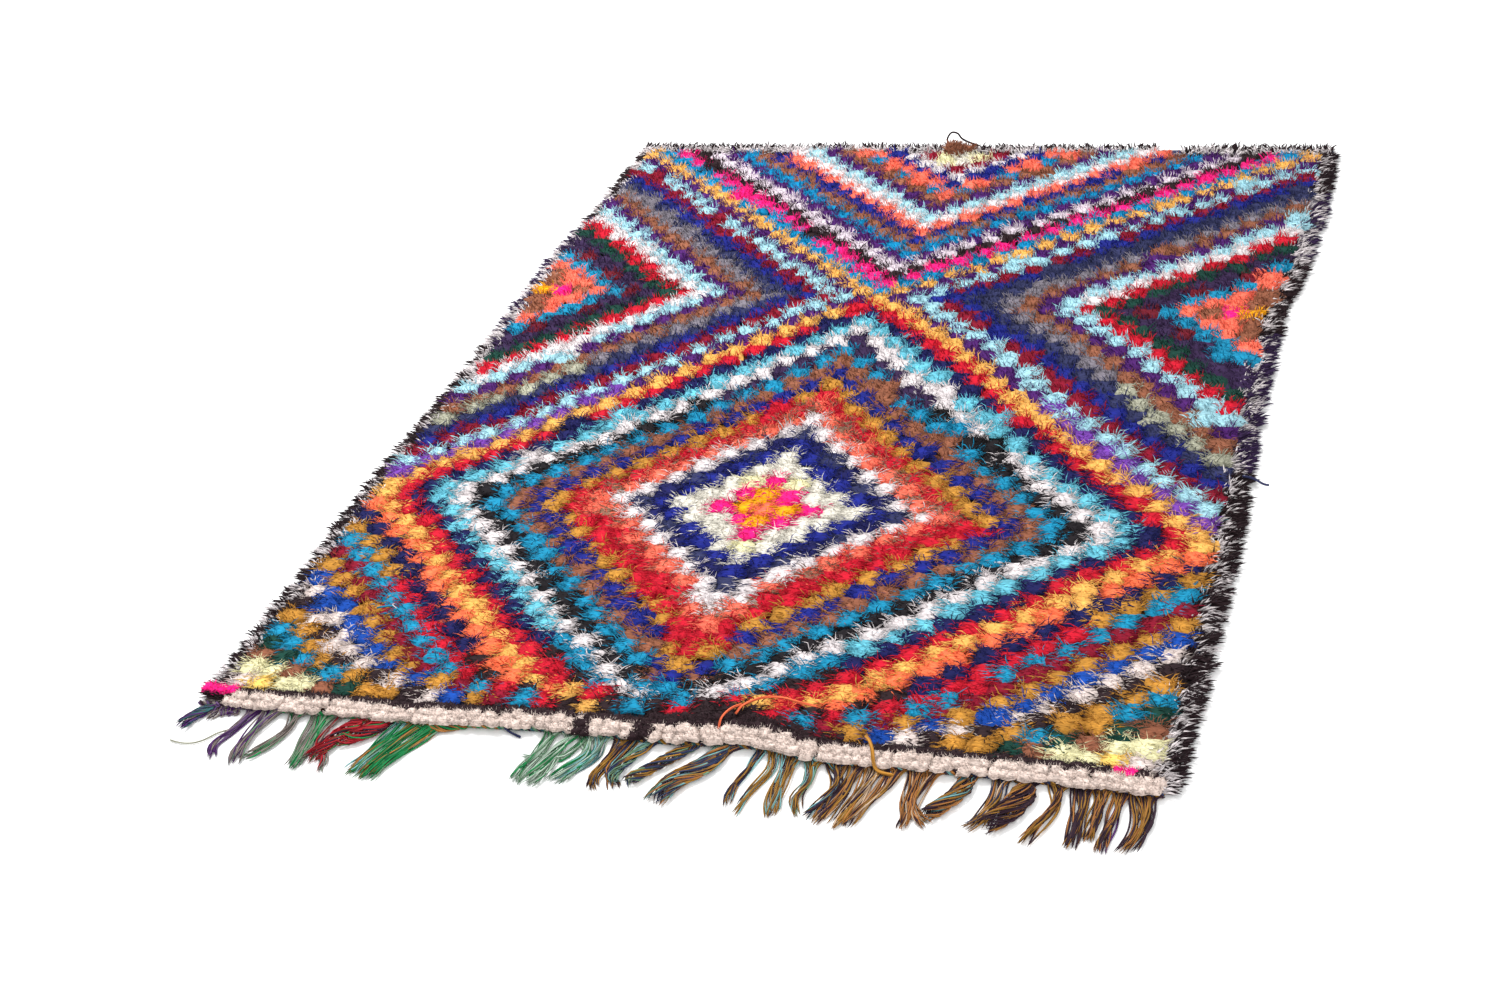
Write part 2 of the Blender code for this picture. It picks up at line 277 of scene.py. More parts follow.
def plyFinish(name):
    # two plies twisted together, each in its own dye, with painted shade in the groove between them
    finish, start, shader = newFinish(name, plyLook["roughness"], plyLook["sheen"])
    dye = attribute(start, "dye", 0)
    mate = attribute(start, "mate", 0)
    ply = start.node("ShaderNodeUVMap", {"uv_map": "ply"})
    around = ply.node("ShaderNodeSeparateXYZ", {}, {0: ply}, out=0)
    length = ply.node("ShaderNodeSeparateXYZ", {}, {0: ply}, out=1)
    turn = (around * 2 + length * (1 / plyLook["pitch"])) * (2 * math.pi)
    crown = start.node("ShaderNodeMath", {"operation": "SINE"}, {0: turn}) * 0.5 + 0.5
    half = start.node("ShaderNodeMath", {"operation": "SINE"}, {0: turn * 0.5 + 0.8})
    share = start.node("ShaderNodeMath", {"operation": "MULTIPLY_ADD", "use_clamp": True}, {
        0: half, 1: 3.0, 2: 0.5})
    both = start.node("ShaderNodeMix", {"data_type": "RGBA"}, {0: share, 6: dye, 7: mate}, out=2)
    place = start.node("ShaderNodeTexCoord", out=3)
    fibre = start.node("ShaderNodeTexNoise", {}, {"Vector": place, "Scale": 900.0})
    # painted shade: darker in the groove between the plies
    light = (crown * plyLook["grooveShade"] + (1 - plyLook["grooveShade"])) * (fibre * 0.4 + 0.8)
    feed(both.scaled(light), shader, "Base Color")
    feed(fibre * 0.2 + (plyLook["roughness"] - 0.1), shader, "Roughness")
    bump = start.node("ShaderNodeBump", {}, {
        "Height": crown + fibre * 0.3, "Distance": plyLook["bump"], "Strength": 0.7})
    feed(bump, shader, "Normal")
    return finish


def crossed(first, second):
    across = np.cross(first, second)
    return across / np.maximum(np.linalg.norm(across, axis=-1, keepdims=True), 1e-9)


def smoothPath(points, count):
    # a soft line through a few points
    points = np.array(points, dtype=float)
    ends = np.concatenate([points[:1] * 2 - points[1:2], points, points[-1:] * 2 - points[-2:-1]])
    spans = len(points) - 1
    place = np.linspace(0, spans - 1e-6, count)
    span = place.astype(int)
    t = (place - span)[:, None]
    a, b, c, d = ends[span], ends[span + 1], ends[span + 2], ends[span + 3]
    return 0.5 * (2 * b + (c - a) * t + (2 * a - 5 * b + 4 * c - d) * t ** 2
                  + (3 * b - a - 3 * c + d) * t ** 3)


cell = {
    # how a yarn lies in its small square of the texture sheet: its skin, and its root end below
    "foot": 0.18,
    "tall": 0.8,
    "margin": 0.02,
    "wide": 0.96,
    "capMiddle": (0.5, 0.08),
    "capReach": (0.45, 0.055),
}


def growTubes(paths, radii, sides, tint, facing, rooted=False):
    # many tapering yarns at once: paths (yarns, rings + tip, 3), radii (yarns, rings);
    # rooted ones start inside a tuft and need no end there
    yarns, points = paths.shape[:2]
    rings = points - 1
    ways = np.empty((yarns, rings, 3))
    ways[:, 0] = paths[:, 1] - paths[:, 0]
    ways[:, 1:] = paths[:, 2:] - paths[:, :-2]
    ways /= np.maximum(np.linalg.norm(ways, axis=2, keepdims=True), 1e-9)
    across = crossed(ways, np.broadcast_to(facing[:, None, :], ways.shape))
    over = np.cross(ways, across)
    turns = np.arange(sides) * (2 * np.pi / sides)
    offset = across[:, :, None] * np.cos(turns)[:, None]
    offset = offset + over[:, :, None] * np.sin(turns)[:, None]
    skin = paths[:, :rings, None] + radii[:, :, None, None] * offset
    verts = np.concatenate([skin.reshape(yarns, rings * sides, 3), paths[:, rings:]], axis=1)
    along = np.repeat(np.arange(rings) / rings, sides)
    along = np.append(along, 1.0)

    faces, layout, plies = [], [], []
    steps = np.linalg.norm(np.diff(paths, axis=1), axis=2)
    reached = np.concatenate([np.zeros((yarns, 1)), np.cumsum(steps, axis=1)], axis=1)
    for ring in range(rings):
        for side in range(sides):
            after = (side + 1) % sides
            a, b = ring * sides + side, ring * sides + after
            low = cell["foot"] + cell["tall"] * ring / rings
            high = cell["foot"] + cell["tall"] * (ring + 1) / rings
            near = cell["margin"] + cell["wide"] * side / sides
            far = cell["margin"] + cell["wide"] * (side + 1) / sides
            spin, spun = side / sides, (side + 1) / sides
            if ring == rings - 1:
                faces.append((a, b, rings * sides))
                layout.append(((near, low), (far, low), ((near + far) / 2, high)))
                plies.append(((spin, ring), (spun, ring), (spin, ring + 1)))
                continue
            c, d = b + sides, a + sides
            faces.extend([(a, b, c), (a, c, d)])
            layout.append(((near, low), (far, low), (far, high)))
            layout.append(((near, low), (far, high), (near, high)))
            plies.append(((spin, ring), (spun, ring), (spun, ring + 1)))
            plies.append(((spin, ring), (spun, ring + 1), (spin, ring + 1)))
    (capX, capY), (reachX, reachY) = cell["capMiddle"], cell["capReach"]
    cap = [(capX + reachX * math.cos(turn), capY + reachY * math.sin(turn)) for turn in turns]
    for side in range(1, 1 if rooted else sides - 1):
        faces.append((0, side + 1, side))
        layout.append((cap[0], cap[side + 1], cap[side]))
        plies.append(((0, 0), (0, 0), (0, 0)))

    faces = np.array(faces)
    plies = np.array(plies, dtype=float)
    lengths = reached[:, plies[:, :, 1].astype(int)]
    lengths = lengths + dice.uniform(0, 1, (yarns, 1, 1))
    spins = np.broadcast_to(plies[:, :, 0], lengths.shape)
    if tint.ndim == 2:
        tint = tint[:, None, :]
    tint = np.broadcast_to(tint, (yarns, rings * sides + 1, 3))
    return {
        "verts": verts.reshape(-1, 3),
        "faces": (faces[None] + np.arange(yarns)[:, None, None] * verts.shape[1]).reshape(-1, 3),
        "layout": np.broadcast_to(np.array(layout), (yarns, len(faces), 3, 2)),
        "ply": np.stack([spins, lengths], axis=-1).reshape(-1, 3, 2),
        "dye": tint.reshape(-1, 3),
        "along": np.tile(along, yarns),
        "body": False,
    }


bodyRings = (1.0, 0.78, 0.40)  # width of a tuft's mass at its foot, shoulder and crown


def growBodies(spots, style):
    # the mass of each tuft: a low ragged cushion, leaning with its yarns
    count = len(spots["x"])
    turns = np.arange(style["corners"]) * (2 * np.pi / style["corners"])
    outward = np.stack([np.cos(turns), np.sin(turns)], axis=1)
    outward /= (np.abs(outward) ** 3).sum(axis=1, keepdims=True) ** (1 / 3)
    shares = np.array(bodyRings)
    lifts = np.array(style["lifts"])
    ragged = dice.uniform(1 - style["ragged"], 1 + style["ragged"], (count, style["corners"]))
    spread = shares[None, :, None] * (1 + (ragged[:, None] - 1) * shares[None, :, None] ** 2)
    height = (style["body"] * spots["length"])[:, None, None]
    lift = height * lifts[None, :, None] * dice.uniform(0.93, 1.07, spread.shape)
    half = style["half"]
    x = spots["x"][:, None, None] + spread * outward[:, 0] * half * spots["pitchX"][:, None, None]
    y = spots["y"][:, None, None] + spread * outward[:, 1] * half * spots["pitchY"][:, None, None]
    x = x + spots["leanX"][:, None, None] * lift
    y = y + spots["leanY"][:, None, None] * lift
    z = clothHeight(x, y) + rug["clothThick"] + lift
    skin = np.stack([x, y, z], axis=3).reshape(count, -1, 3)
    top = np.stack([
        spots["x"] + spots["leanX"] * height[:, 0, 0],
        spots["y"] + spots["leanY"] * height[:, 0, 0],
        clothHeight(spots["x"], spots["y"]) + rug["clothThick"] + height[:, 0, 0]], axis=1)
    verts = np.concatenate([skin, top[:, None]], axis=1)
    corners = style["corners"]
    flat = [0.5 + 0.42 * share * outward for share in shares]
    flat = np.concatenate(flat + [np.array([(0.5, 0.5)])])
    faces = []
    for ring in range(2):
        for side in range(corners):
            a, b = ring * corners + side, ring * corners + (side + 1) % corners
            faces.extend([(a, b, b + corners), (a, b + corners, a + corners)])
    faces.extend([(2 * corners + side, 2 * corners + (side + 1) % corners, 3 * corners)
                  for side in range(corners)])
    faces = np.array(faces)
    points = verts.shape[1]
    shade = dice.uniform(0.90, 1.06, (count, points, 1))
    # painted shade: a tuft's mass darker at its foot than at its crown
    along = np.append(np.repeat(np.array(style["bodyShadeAlong"]), corners), 1.0)
    return {
        "verts": verts.reshape(-1, 3),
        "faces": (faces[None] + np.arange(count)[:, None, None] * points).reshape(-1, 3),
        "layout": np.broadcast_to(flat[faces], (count, len(faces), 3, 2)),
        "ply": np.zeros((count * len(faces), 3, 2)),
        "dye": np.minimum(spots["tint"][:, None] * shade, 1.0).reshape(-1, 3),
        "along": np.tile(along, count),
        "body": True,
    }


def spreadCells(batches):
    # each yarn has its own small square of one texture sheet; tuft bodies share the upper half
    sheets = [None] * len(batches)
    kinds = sorted({batch["body"] for batch in batches})
    for kind in kinds:
        chosen = [index for index, batch in enumerate(batches) if batch["body"] == kind]
        count = sum(len(batches[index]["layout"]) for index in chosen)
        part = 1 / len(kinds)
        deep = math.ceil(math.sqrt(count * part))
        wide = math.ceil(count / deep)
        start = 0
        for index in chosen:
            layout = batches[index]["layout"]
            order = np.arange(start, start + len(layout))
            start += len(layout)
            place = np.stack([order % wide, order // wide], axis=1)[:, None, None]
            sheet = (layout + place) / np.array((wide, deep / part))
            sheet[..., 1] += kinds.index(kind) * part
            sheets[index] = sheet.reshape(-1, 3, 2)
    return np.concatenate(sheets)


def buildMesh(name, verts, faces, colours, along, maps, finish):
    mesh = bpy.data.meshes.new(name)
    mesh.vertices.add(len(verts))
    mesh.vertices.foreach_set("co", (verts + corner).ravel())
    mesh.loops.add(faces.size)
    mesh.loops.foreach_set("vertex_index", faces.ravel().astype(np.int32))
    mesh.polygons.add(len(faces))
    starts = np.arange(0, faces.size, faces.shape[1], dtype=np.int32)
    mesh.polygons.foreach_set("loop_start", starts)
    mesh.update(calc_edges=True)
    domain = "POINT" if faces.shape[1] == 3 else "CORNER"
    for title, values in colours.items():
        colour = mesh.color_attributes.new(name=title, type="FLOAT_COLOR", domain=domain)
        opaque = np.concatenate([values, np.ones((len(values), 1))], axis=1)
        colour.data.foreach_set("color", opaque.ravel())
    if along is not None:
        mesh.attributes.new("along", "FLOAT", "POINT").data.foreach_set("value", along)
    for title, values in maps.items():
        mesh.uv_layers.new(name=title).data.foreach_set("uv", values.ravel())
    mesh.shade_smooth()
    mesh.materials.append(finish)
    piece = bpy.data.objects.new(name, mesh)
    bpy.context.scene.collection.objects.link(piece)
    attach(piece, "root")
    pieces[name] = piece
    return piece


def buildYarns(name, batches, finish, withPly=False):
    starts = np.cumsum([0] + [len(batch["verts"]) for batch in batches])
    faces = np.concatenate([batch["faces"] + start for batch, start in zip(batches, starts)])
    maps = {"OFBake": spreadCells(batches)}
    colours = {"dye": np.concatenate([batch["dye"] for batch in batches])}
    if withPly:
        maps["ply"] = np.concatenate([batch["ply"] for batch in batches])
        colours["mate"] = np.concatenate([batch.get("mate", batch["dye"]) for batch in batches])
    verts = np.concatenate([batch["verts"] for batch in batches])
    along = np.concatenate([batch["along"] for batch in batches])
    piece = buildMesh(name, verts, faces, colours, along, maps, finish)
    print(name, len(faces), "faces")
    return piece


# Pattern: one tuft to a place in a grid of columns and rows, and rings of tufts round four
# middles. A ring's yarn is named by its number of steps from the middle.
pattern = {
    "columns": 19,           # each side of the middle one
    "firstRow": -16,
    "lastRow": 39,
    "crossRow": 19,          # where the four diamonds meet
    "strayShare": 0.03,
    "nearRows": 8,
}
knotRows = {
    # metres from the near edge to a row, at the middle column and at the outermost ones
    "row": [-16, -13, -9, -4, 0, 5, 9, 14, 19, 28, 38],
    "left": [0.037, 0.125, 0.243, 0.402, 0.523, 0.674, 0.802, 0.962, 1.128, 1.396, 1.661],
    "middle": [0.055, 0.116, 0.239, 0.390, 0.513, 0.678, 0.817, 0.993, 1.129, 1.361, 1.633],
    "right": [0.037, 0.129, 0.250, 0.410, 0.510, 0.668, 0.802, 0.981, 1.143, 1.415, 1.661],
}
knotColumns = {
    # the middle column and the pitch on its two sides, as shares of the width
    "row": [-16, 0, 14, 28, 38],
    "middle": [0.4900, 0.4915, 0.4945, 0.4975, 0.4980],
    "left": [0.0238, 0.0239, 0.0239, 0.0243, 0.02435],
    "right": [0.0247, 0.0245, 0.0247, 0.0245, 0.0244],
}
rings = {
    "centre": "salmon saffron magenta cream cream royal slate/navy white salmon red red "
              "ochre royal brown turquoise black white sky navy red gold coral navy red "
              "turquoise crimson ochre bright shell blackBrown ochre turquoise "
              "forest brown limeCream yellow/limeCream yellow/shell",
    "side": "saffron magenta/brown salmon/brown salmon turquoise maroon/aubergine aubergine forest "
            "red white paleSky plum brown grey slate royal crimson paleSky plum gold",
    "far": "cream/limeCream crimson white royal salmon salmon/deepTurquoise brown plum paleSky "
           "white salmon royal brown deepTurquoise plum lavender blackBrown magenta "
           "deepTurquoise gold",
}
exceptions = [
    # yarns that change on the way round a ring
    {"ring": ("centre", 15), "rows": (9, 20), "columns": (0, 20), "yarn": "aubergine"},
    {"ring": ("centre", 17), "rows": (-15, -14), "columns": (1, 2), "side": -1, "yarn": "white"},
    {"ring": ("centre", 18), "rows": (-16, -15), "columns": (1, 2), "side": -1, "yarn": "turquoise"},
    {"ring": ("centre", 18), "rows": (-16, -15), "columns": (1, 2), "side": 1, "yarn": "red"},
    {"ring": ("centre", 20), "rows": (-16, -15), "columns": (3, 4), "side": 1, "yarn": "blackBrown"},
    {"ring": ("centre", 17), "rows": (-17, -10), "columns": (0, 20), "yarn": "turquoise"},
    {"ring": ("centre", 18), "rows": (-17, -11), "columns": (0, 20), "yarn": "blackBrown"},
    {"ring": ("centre", 3), "rows": (2, 3), "columns": (1, 2), "yarn": "limeCream"},
    {"ring": ("centre", 3), "rows": (-3, -2), "columns": (0, 1), "yarn": "limeCream"},
    {"ring": ("centre", 14), "rows": (-13, -12), "columns": (1, 2), "yarn": "brown"},
    {"ring": ("centre", 15), "rows": (-15, -14), "columns": (0, 1), "yarn": "turquoise"},
    {"ring": ("centre", 16), "rows": (-16, -15), "columns": (0, 1), "yarn": "blackBrown"},
    {"ring": ("centre", 19), "rows": (-16, -15), "columns": (2, 3), "yarn": "blackBrown"},
    {"ring": ("centre", 22), "rows": (-17, -12), "columns": (0, 20), "yarn": "blackBrown"},
    {"ring": ("centre", 23), "rows": (-17, 0), "columns": (16, 20), "yarn": "ochre"},
    {"ring": ("side", 13), "rows": (0, 18), "columns": (14, 20), "yarn": "stone"},
    {"ring": ("side", 18), "rows": (0, 10), "columns": (9, 20), "yarn": "violet"},
]


def centreRing(column, row):
    # the upper half has a ring less, and the knots of the lower tip are drawn in
    ring = abs(column) + abs(row)
    if row >= 0:
        return ring + (ring >= 9)
    if abs(column) <= 1:
        return ring - (8 <= ring <= 13) + (row <= -15 and column != 0)
    return ring + (row <= -15) + (row <= -16 and abs(column) >= 4)


def sideRing(column, row):
    # the right diamond sits a row lower than the left one, and its lower half is wider
    reach = pattern["crossRow"]
    if column < 0:
        return reach + column + abs(row - reach)
    steps = reach - column + abs(row - reach + 1)
    if row >= reach:
        return round(steps - np.clip((steps - 11) / 7, 0, 1))
    return round(steps + 1.1 * np.clip((steps - 6) / 6, 0, 1))


def yarnAt(column, row):
    steps = abs(column) + abs(row)
    reach = pattern["crossRow"]
    farSteps = abs(column) + 2 * reach - row
    if steps <= reach or row < 0:
        name, ring = "centre", centreRing(column, row)
    elif farSteps <= reach:
        name, ring = "far", max(farSteps, 0)
    else:
        name, ring = "side", sideRing(column, row)
    if dice.random() < pattern["strayShare"] and steps > 6:
        ring -= 1
    names = rings[name].split()
    ring = max(0, min(ring, len(names) - 1))
    for change in exceptions:
        inRows = change["rows"][0] <= row < change["rows"][1]
        inColumns = change["columns"][0] <= abs(column) < change["columns"][1]
        onSide = change.get("side", 0) * column >= 0
        if change["ring"] == (name, ring) and inRows and inColumns and onSide:
            return change["yarn"]
    choices = names[ring].split("/")
    return choices[abs(column) % len(choices)]


def tuftPlace(column, row):
    # where the middle of a tuft stands on the cloth; takes arrays too
    column = np.asarray(column, dtype=float)
    row = np.asarray(row, dtype=float)
    outward = np.abs(column) / pattern["columns"]

    def read(table, name):
        rows, values = table["row"], table[name]
        past = (values[-1] - values[-2]) / (rows[-1] - rows[-2]) * np.clip(row - rows[-1], 0, None)
        before = (values[1] - values[0]) / (rows[1] - rows[0]) * np.clip(row - rows[0], None, 0)
        return np.interp(row, rows, values) + past + before

    side = np.where(column < 0, read(knotRows, "left"), read(knotRows, "right"))
    y = read(knotRows, "middle") * (1 - outward) + side * outward
    pitch = np.where(column < 0, read(knotColumns, "left"), read(knotColumns, "right"))
    return ontoCloth(read(knotColumns, "middle") + pitch * column, y)


tuftStyle = {
    "body": 0.0092,        # height of a tuft's mass
    "lifts": (0.55, 0.92, 1.0),
    "half": 0.66,          # its half width, as a share of the pitch
    "corners": 8,
    "ragged": 0.38,
    # painted shade: a tuft's mass darker at its foot and shoulder than at its crown
    "bodyShadeAlong": (0.42, 0.66, 0.76),
    "rootShadeAlong": 0.50,     # painted shade: where the light of a strand starts, between root and tip
    "long": 22,            # bent strands to a tuft
    "short": 46,           # straight ones
    "length": 0.0190,
    "shortLength": 0.0125,
    "radius": 0.00088,
    "rootSpread": 0.58,    # share of the pitch
    "unruly": 0.20,
    "fan": 0.85,           # how far the strands part to the left and right
    "slant": 0.34,         # how far a whole tuft turns
    "rise": 0.50,
    "splay": 0.85,
    "small": 0.85,         # size of the small tufts between two rings
}
farStyle = {
    **tuftStyle,
    "half": 0.74,
    "long": 11,
    "short": 38,
    "length": 0.0165,
    "radius": 0.00116,
}
strand = {
    "sunk": 0.7,           # where a strand starts, as a share of the cloth's thickness
    "crown": 0.92,         # and on a tuft's mass, in the middle
    "fall": 0.16,          # and lower towards its corners
    "bend": (0.55, 0.45),  # shares of the length before and after the bend
    "curl": 1.3,
    "droop": 0.35,         # rise after the bend, as a share of the rise before it
    "lowest": 0.0014,
}


def growTufts(spots, style):
    # spots: arrays of places, dyes and leanings; a body for each tuft and two batches of strands
    batches = [growBodies(spots, style)] if style["body"] else []
    count = len(spots["x"])
    for kind in ("long", "short"):
        number = style[kind]
        if number == 0:
            continue
        off = dice.uniform(-1, 1, (count, number, 2))
        crowd = np.maximum(np.abs(off).sum(axis=2, keepdims=True), 1.0)
        off = off / crowd ** 0.3
        lift = 0.0
        if style["body"]:
            crown = strand["crown"] - strand["fall"] * (off ** 2).sum(axis=2)
            lift = style["body"] * spots["length"][:, None] * crown
        root = np.empty((count, number, 3))
        spread = style["rootSpread"]
        root[..., 0] = spots["x"][:, None] + off[..., 0] * spread * spots["pitchX"][:, None]
        root[..., 1] = spots["y"][:, None] + off[..., 1] * spread * spots["pitchY"][:, None]
        foot = clothHeight(root[..., 0], root[..., 1])
        root[..., 2] = foot + rug["clothThick"] * strand["sunk"] + lift
        root[..., 0] += spots["leanX"][:, None] * lift
        root[..., 1] += spots["leanY"][:, None] * lift
        side = np.sign(off[..., 0] + dice.normal(0, 0.3, (count, number)))
        part = side * dice.uniform(0.4, 1.3, (count, number)) * style["fan"]
        part += off[..., 0] * (1 - style["fan"])
        lay = np.empty((count, number, 2))
        lay[..., 0] = spots["leanX"][:, None] + part * spots["splayX"][:, None]
        lay[..., 1] = spots["leanY"][:, None] + off[..., 1] * spots["splayY"][:, None]
        lay[..., 1] += lay[..., 0] * dice.normal(0, style["slant"], (count, 1))
        lay += dice.normal(0, style["unruly"], lay.shape)
        rise = np.broadcast_to(spots["rise"][:, None, None], (count, number, 1))
        long = kind == "long"
        length = (style["length"] if long else style["shortLength"]) * spots["length"][:, None]
        length = length * dice.uniform(0.75, 1.15, (count, number))
        first = np.concatenate([lay, rise], axis=2)
        first /= np.linalg.norm(first, axis=2, keepdims=True)
        points = [root]
        if long:
            curl = lay * strand["curl"] + dice.normal(0, style["unruly"], lay.shape)
            second = np.concatenate([curl, rise * strand["droop"]], axis=2)
            second /= np.linalg.norm(second, axis=2, keepdims=True)
            before, after = strand["bend"]
            points.append(root + first * (length * before)[..., None])
            points.append(points[1] + second * (length * after)[..., None])
        else:
            points.append(root + first * length[..., None])
        paths = np.stack(points, axis=2).reshape(-1, len(points), 3)
        paths[..., 2] = np.maximum(paths[..., 2], strand["lowest"])
        girth = style["radius"] * dice.uniform(0.75, 1.2, (len(paths), 1))
        radii = girth * (np.array([[1.0, 0.8]]) if long else np.array([[1.0]]))
        level = np.zeros((len(paths), 1))
        facing = np.concatenate([dice.normal(0, 1, (len(paths), 2)), level], axis=1)
        shade = dice.uniform(0.84, 1.10, (count, number, 1))
        tint = np.minimum((spots["tint"][:, None] * shade).reshape(-1, 3), 1.0)
        batch = growTubes(paths, radii, 3, tint, facing, rooted=True)
        # painted shade: strands darker at the root than at the tip
        low = style["rootShadeAlong"]
        batch["along"] = low + (1 - low) * batch["along"]
        batches.append(batch)
    return batches


def slowWave(x, y, seed):
    # a soft unevenness over the whole rug, from -1 to 1
    turn = seed * 1.7
    first = np.sin(x * 5.1 + turn) * np.cos(y * 4.3 - turn)
    return 0.6 * first + 0.4 * np.sin(x * 11.0 - y * 9.0 + turn * 2)


families = {
    "pileWhites": ["cream", "limeCream", "white", "shell", "lavender"],
    "pileSkies": ["sky", "paleSky", "turquoise", "deepTurquoise"],
    "pileBlues": ["bright", "royal", "navy", "slate"],
    "pilePurples": ["violet", "plum", "aubergine"],
    "pileReds": ["red", "crimson", "maroon", "magenta"],
    "pileCorals": ["salmon", "coral", "saffron"],
    "pileGolds": ["gold", "yellow", "ochre"],
    "pileBrowns": ["brown", "taupe", "grey", "stone", "forest", "blackBrown", "black"],
}


def onField(column, row):
    # the field stops short of the far edging
    return tuftPlace(column, row)[1] < rug["length"] - 0.044


def chartTufts():
    chart = {}
    for row in range(pattern["firstRow"], pattern["lastRow"] + 1):
        for column in range(-pattern["columns"], pattern["columns"] + 1):
            chart[column, row] = yarnAt(column, row)
    return chart


def smallTufts():
    # taupe tufts in the gaps between the salmon and the red ring
    places = []
    for row in range(-8, 9):
        column = 8.5 - abs(row)
        places.extend([(-column, row), (column, row)])
    return {place: "taupe" for place in places}


pileLie = {
    # how the tufts stand: by chance, by slow waves over the rug, and more upright far back
    "stray": (0.09, 0.08),        # in columns and rows
    "shades": (0.92, 1.06),
    "uprightFrom": 0.45,          # metres from the near edge
    "uprightOver": 0.6,
    "wave": (0.25, 0.12),
    "lean": (0.05, 0.10),         # to the left and to the near end
    "sway": (0.24, 0.16),
    "lengths": (0.88, 1.1),
    "pitchX": 0.0245,             # share of the width
    "pitchesX": (0.92, 1.12),
    "pitchesY": (0.0315, 0.0275),  # metres, before and past the crossing
}


def tuftSpots(places, yarnNames):
    column = np.array([place[0] for place in places], dtype=float)
    row = np.array([place[1] for place in places], dtype=float)
    column += dice.normal(0, pileLie["stray"][0], len(places))
    row += dice.normal(0, pileLie["stray"][1], len(places))
    x, y = tuftPlace(column, row)
    tint = np.array([linear(*dyes[name]) for name in yarnNames])
    tint = tint * dice.uniform(*pileLie["shades"], (len(places), 1))
    upright = ease(np.clip((y - pileLie["uprightFrom"]) / pileLie["uprightOver"], 0, 1))
    count = len(x)
    waveX = pileLie["wave"][0] * slowWave(x, y, 1) * (1 - 0.5 * upright)
    waveY = pileLie["wave"][1] * slowWave(x, y, 2)
    near, far = pileLie["pitchesY"]
    whole = np.array([place[0] == int(place[0]) for place in places])
    size = np.where(whole, 1.0, tuftStyle["small"])
    return {
        "x": x,
        "y": y,
        "tint": tint,
        "leanX": waveX - pileLie["lean"][0] + dice.normal(0, pileLie["sway"][0], count),
        "leanY": waveY - pileLie["lean"][1] + dice.normal(0, pileLie["sway"][1], count),
        "splayX": tuftStyle["splay"] * (1.1 - 0.6 * upright),
        "splayY": tuftStyle["splay"] * (0.28 + 0.14 * upright),
        "rise": tuftStyle["rise"] * (0.8 + 1.4 * upright),
        "length": dice.uniform(*pileLie["lengths"], count) * (0.4 + 0.6 * size),
        "pitchX": pileLie["pitchX"] * rug["width"] * dice.uniform(*pileLie["pitchesX"], count) * size,
        "pitchY": np.where(row > pattern["crossRow"], far, near) * size,
    }


def makePile():
    chart = chartTufts()
    tufts = {**chart, **smallTufts()}
    for name, yarns in families.items():
        places = [place for place, yarn in tufts.items() if yarn in yarns and onField(*place)]
        places.sort(key=lambda place: yarns.index(tufts[place]))
        batches = []
        for style in (tuftStyle, farStyle):
            # the rows seen from nearest have the most strands
            far = style is farStyle
            chosen = [place for place in places if (place[1] > pattern["nearRows"]) == far]
            spots = tuftSpots(chosen, [tufts[place] for place in chosen])
            batches.extend(growTufts(spots, style))
        buildYarns(name, batches, pileFinish(name))
    return chart


ground = {
    "inset": 0.010,        # from the rug's edges
    "topShade": 0.45,      # the cloth between the tufts in their own dyes, darkened as painted shade
    "backLight": 0.85,
    "weftScale": 170.0,
}


def groundFinish():
    # woven ground: weft ridges, with the backs of the knots in their own dyes
    finish, start, shader = newFinish("woven ground", 0.95, 0.1)
    dye = attribute(start, "dye", 0)
    place = start.node("ShaderNodeTexCoord", out=3)
    ridges = start.node("ShaderNodeTexWave", {"bands_direction": "Y"}, {
        "Vector": place, "Scale": ground["weftScale"] / 6.3, "Distortion": 1.5, "Detail": 1.0})
    warps = start.node("ShaderNodeTexWave", {"bands_direction": "X"}, {
        "Vector": place, "Scale": ground["weftScale"] / 6.3, "Distortion": 1.0, "Detail": 1.0})
    fleck = start.node("ShaderNodeTexNoise", {}, {"Vector": place, "Scale": 260.0, "Detail": 3.0})
    knots = ridges * warps
    light = (knots * 0.5 + 0.55) * (fleck * 0.5 + 0.75)
    feed(dye.scaled(light), shader, "Base Color")
    feed(fleck * 0.1 + 0.88, shader, "Roughness")
    bump = start.node("ShaderNodeBump", {}, {"Height": knots, "Distance": 0.0012, "Strength": 0.8})
    feed(bump, shader, "Normal")
    return finish


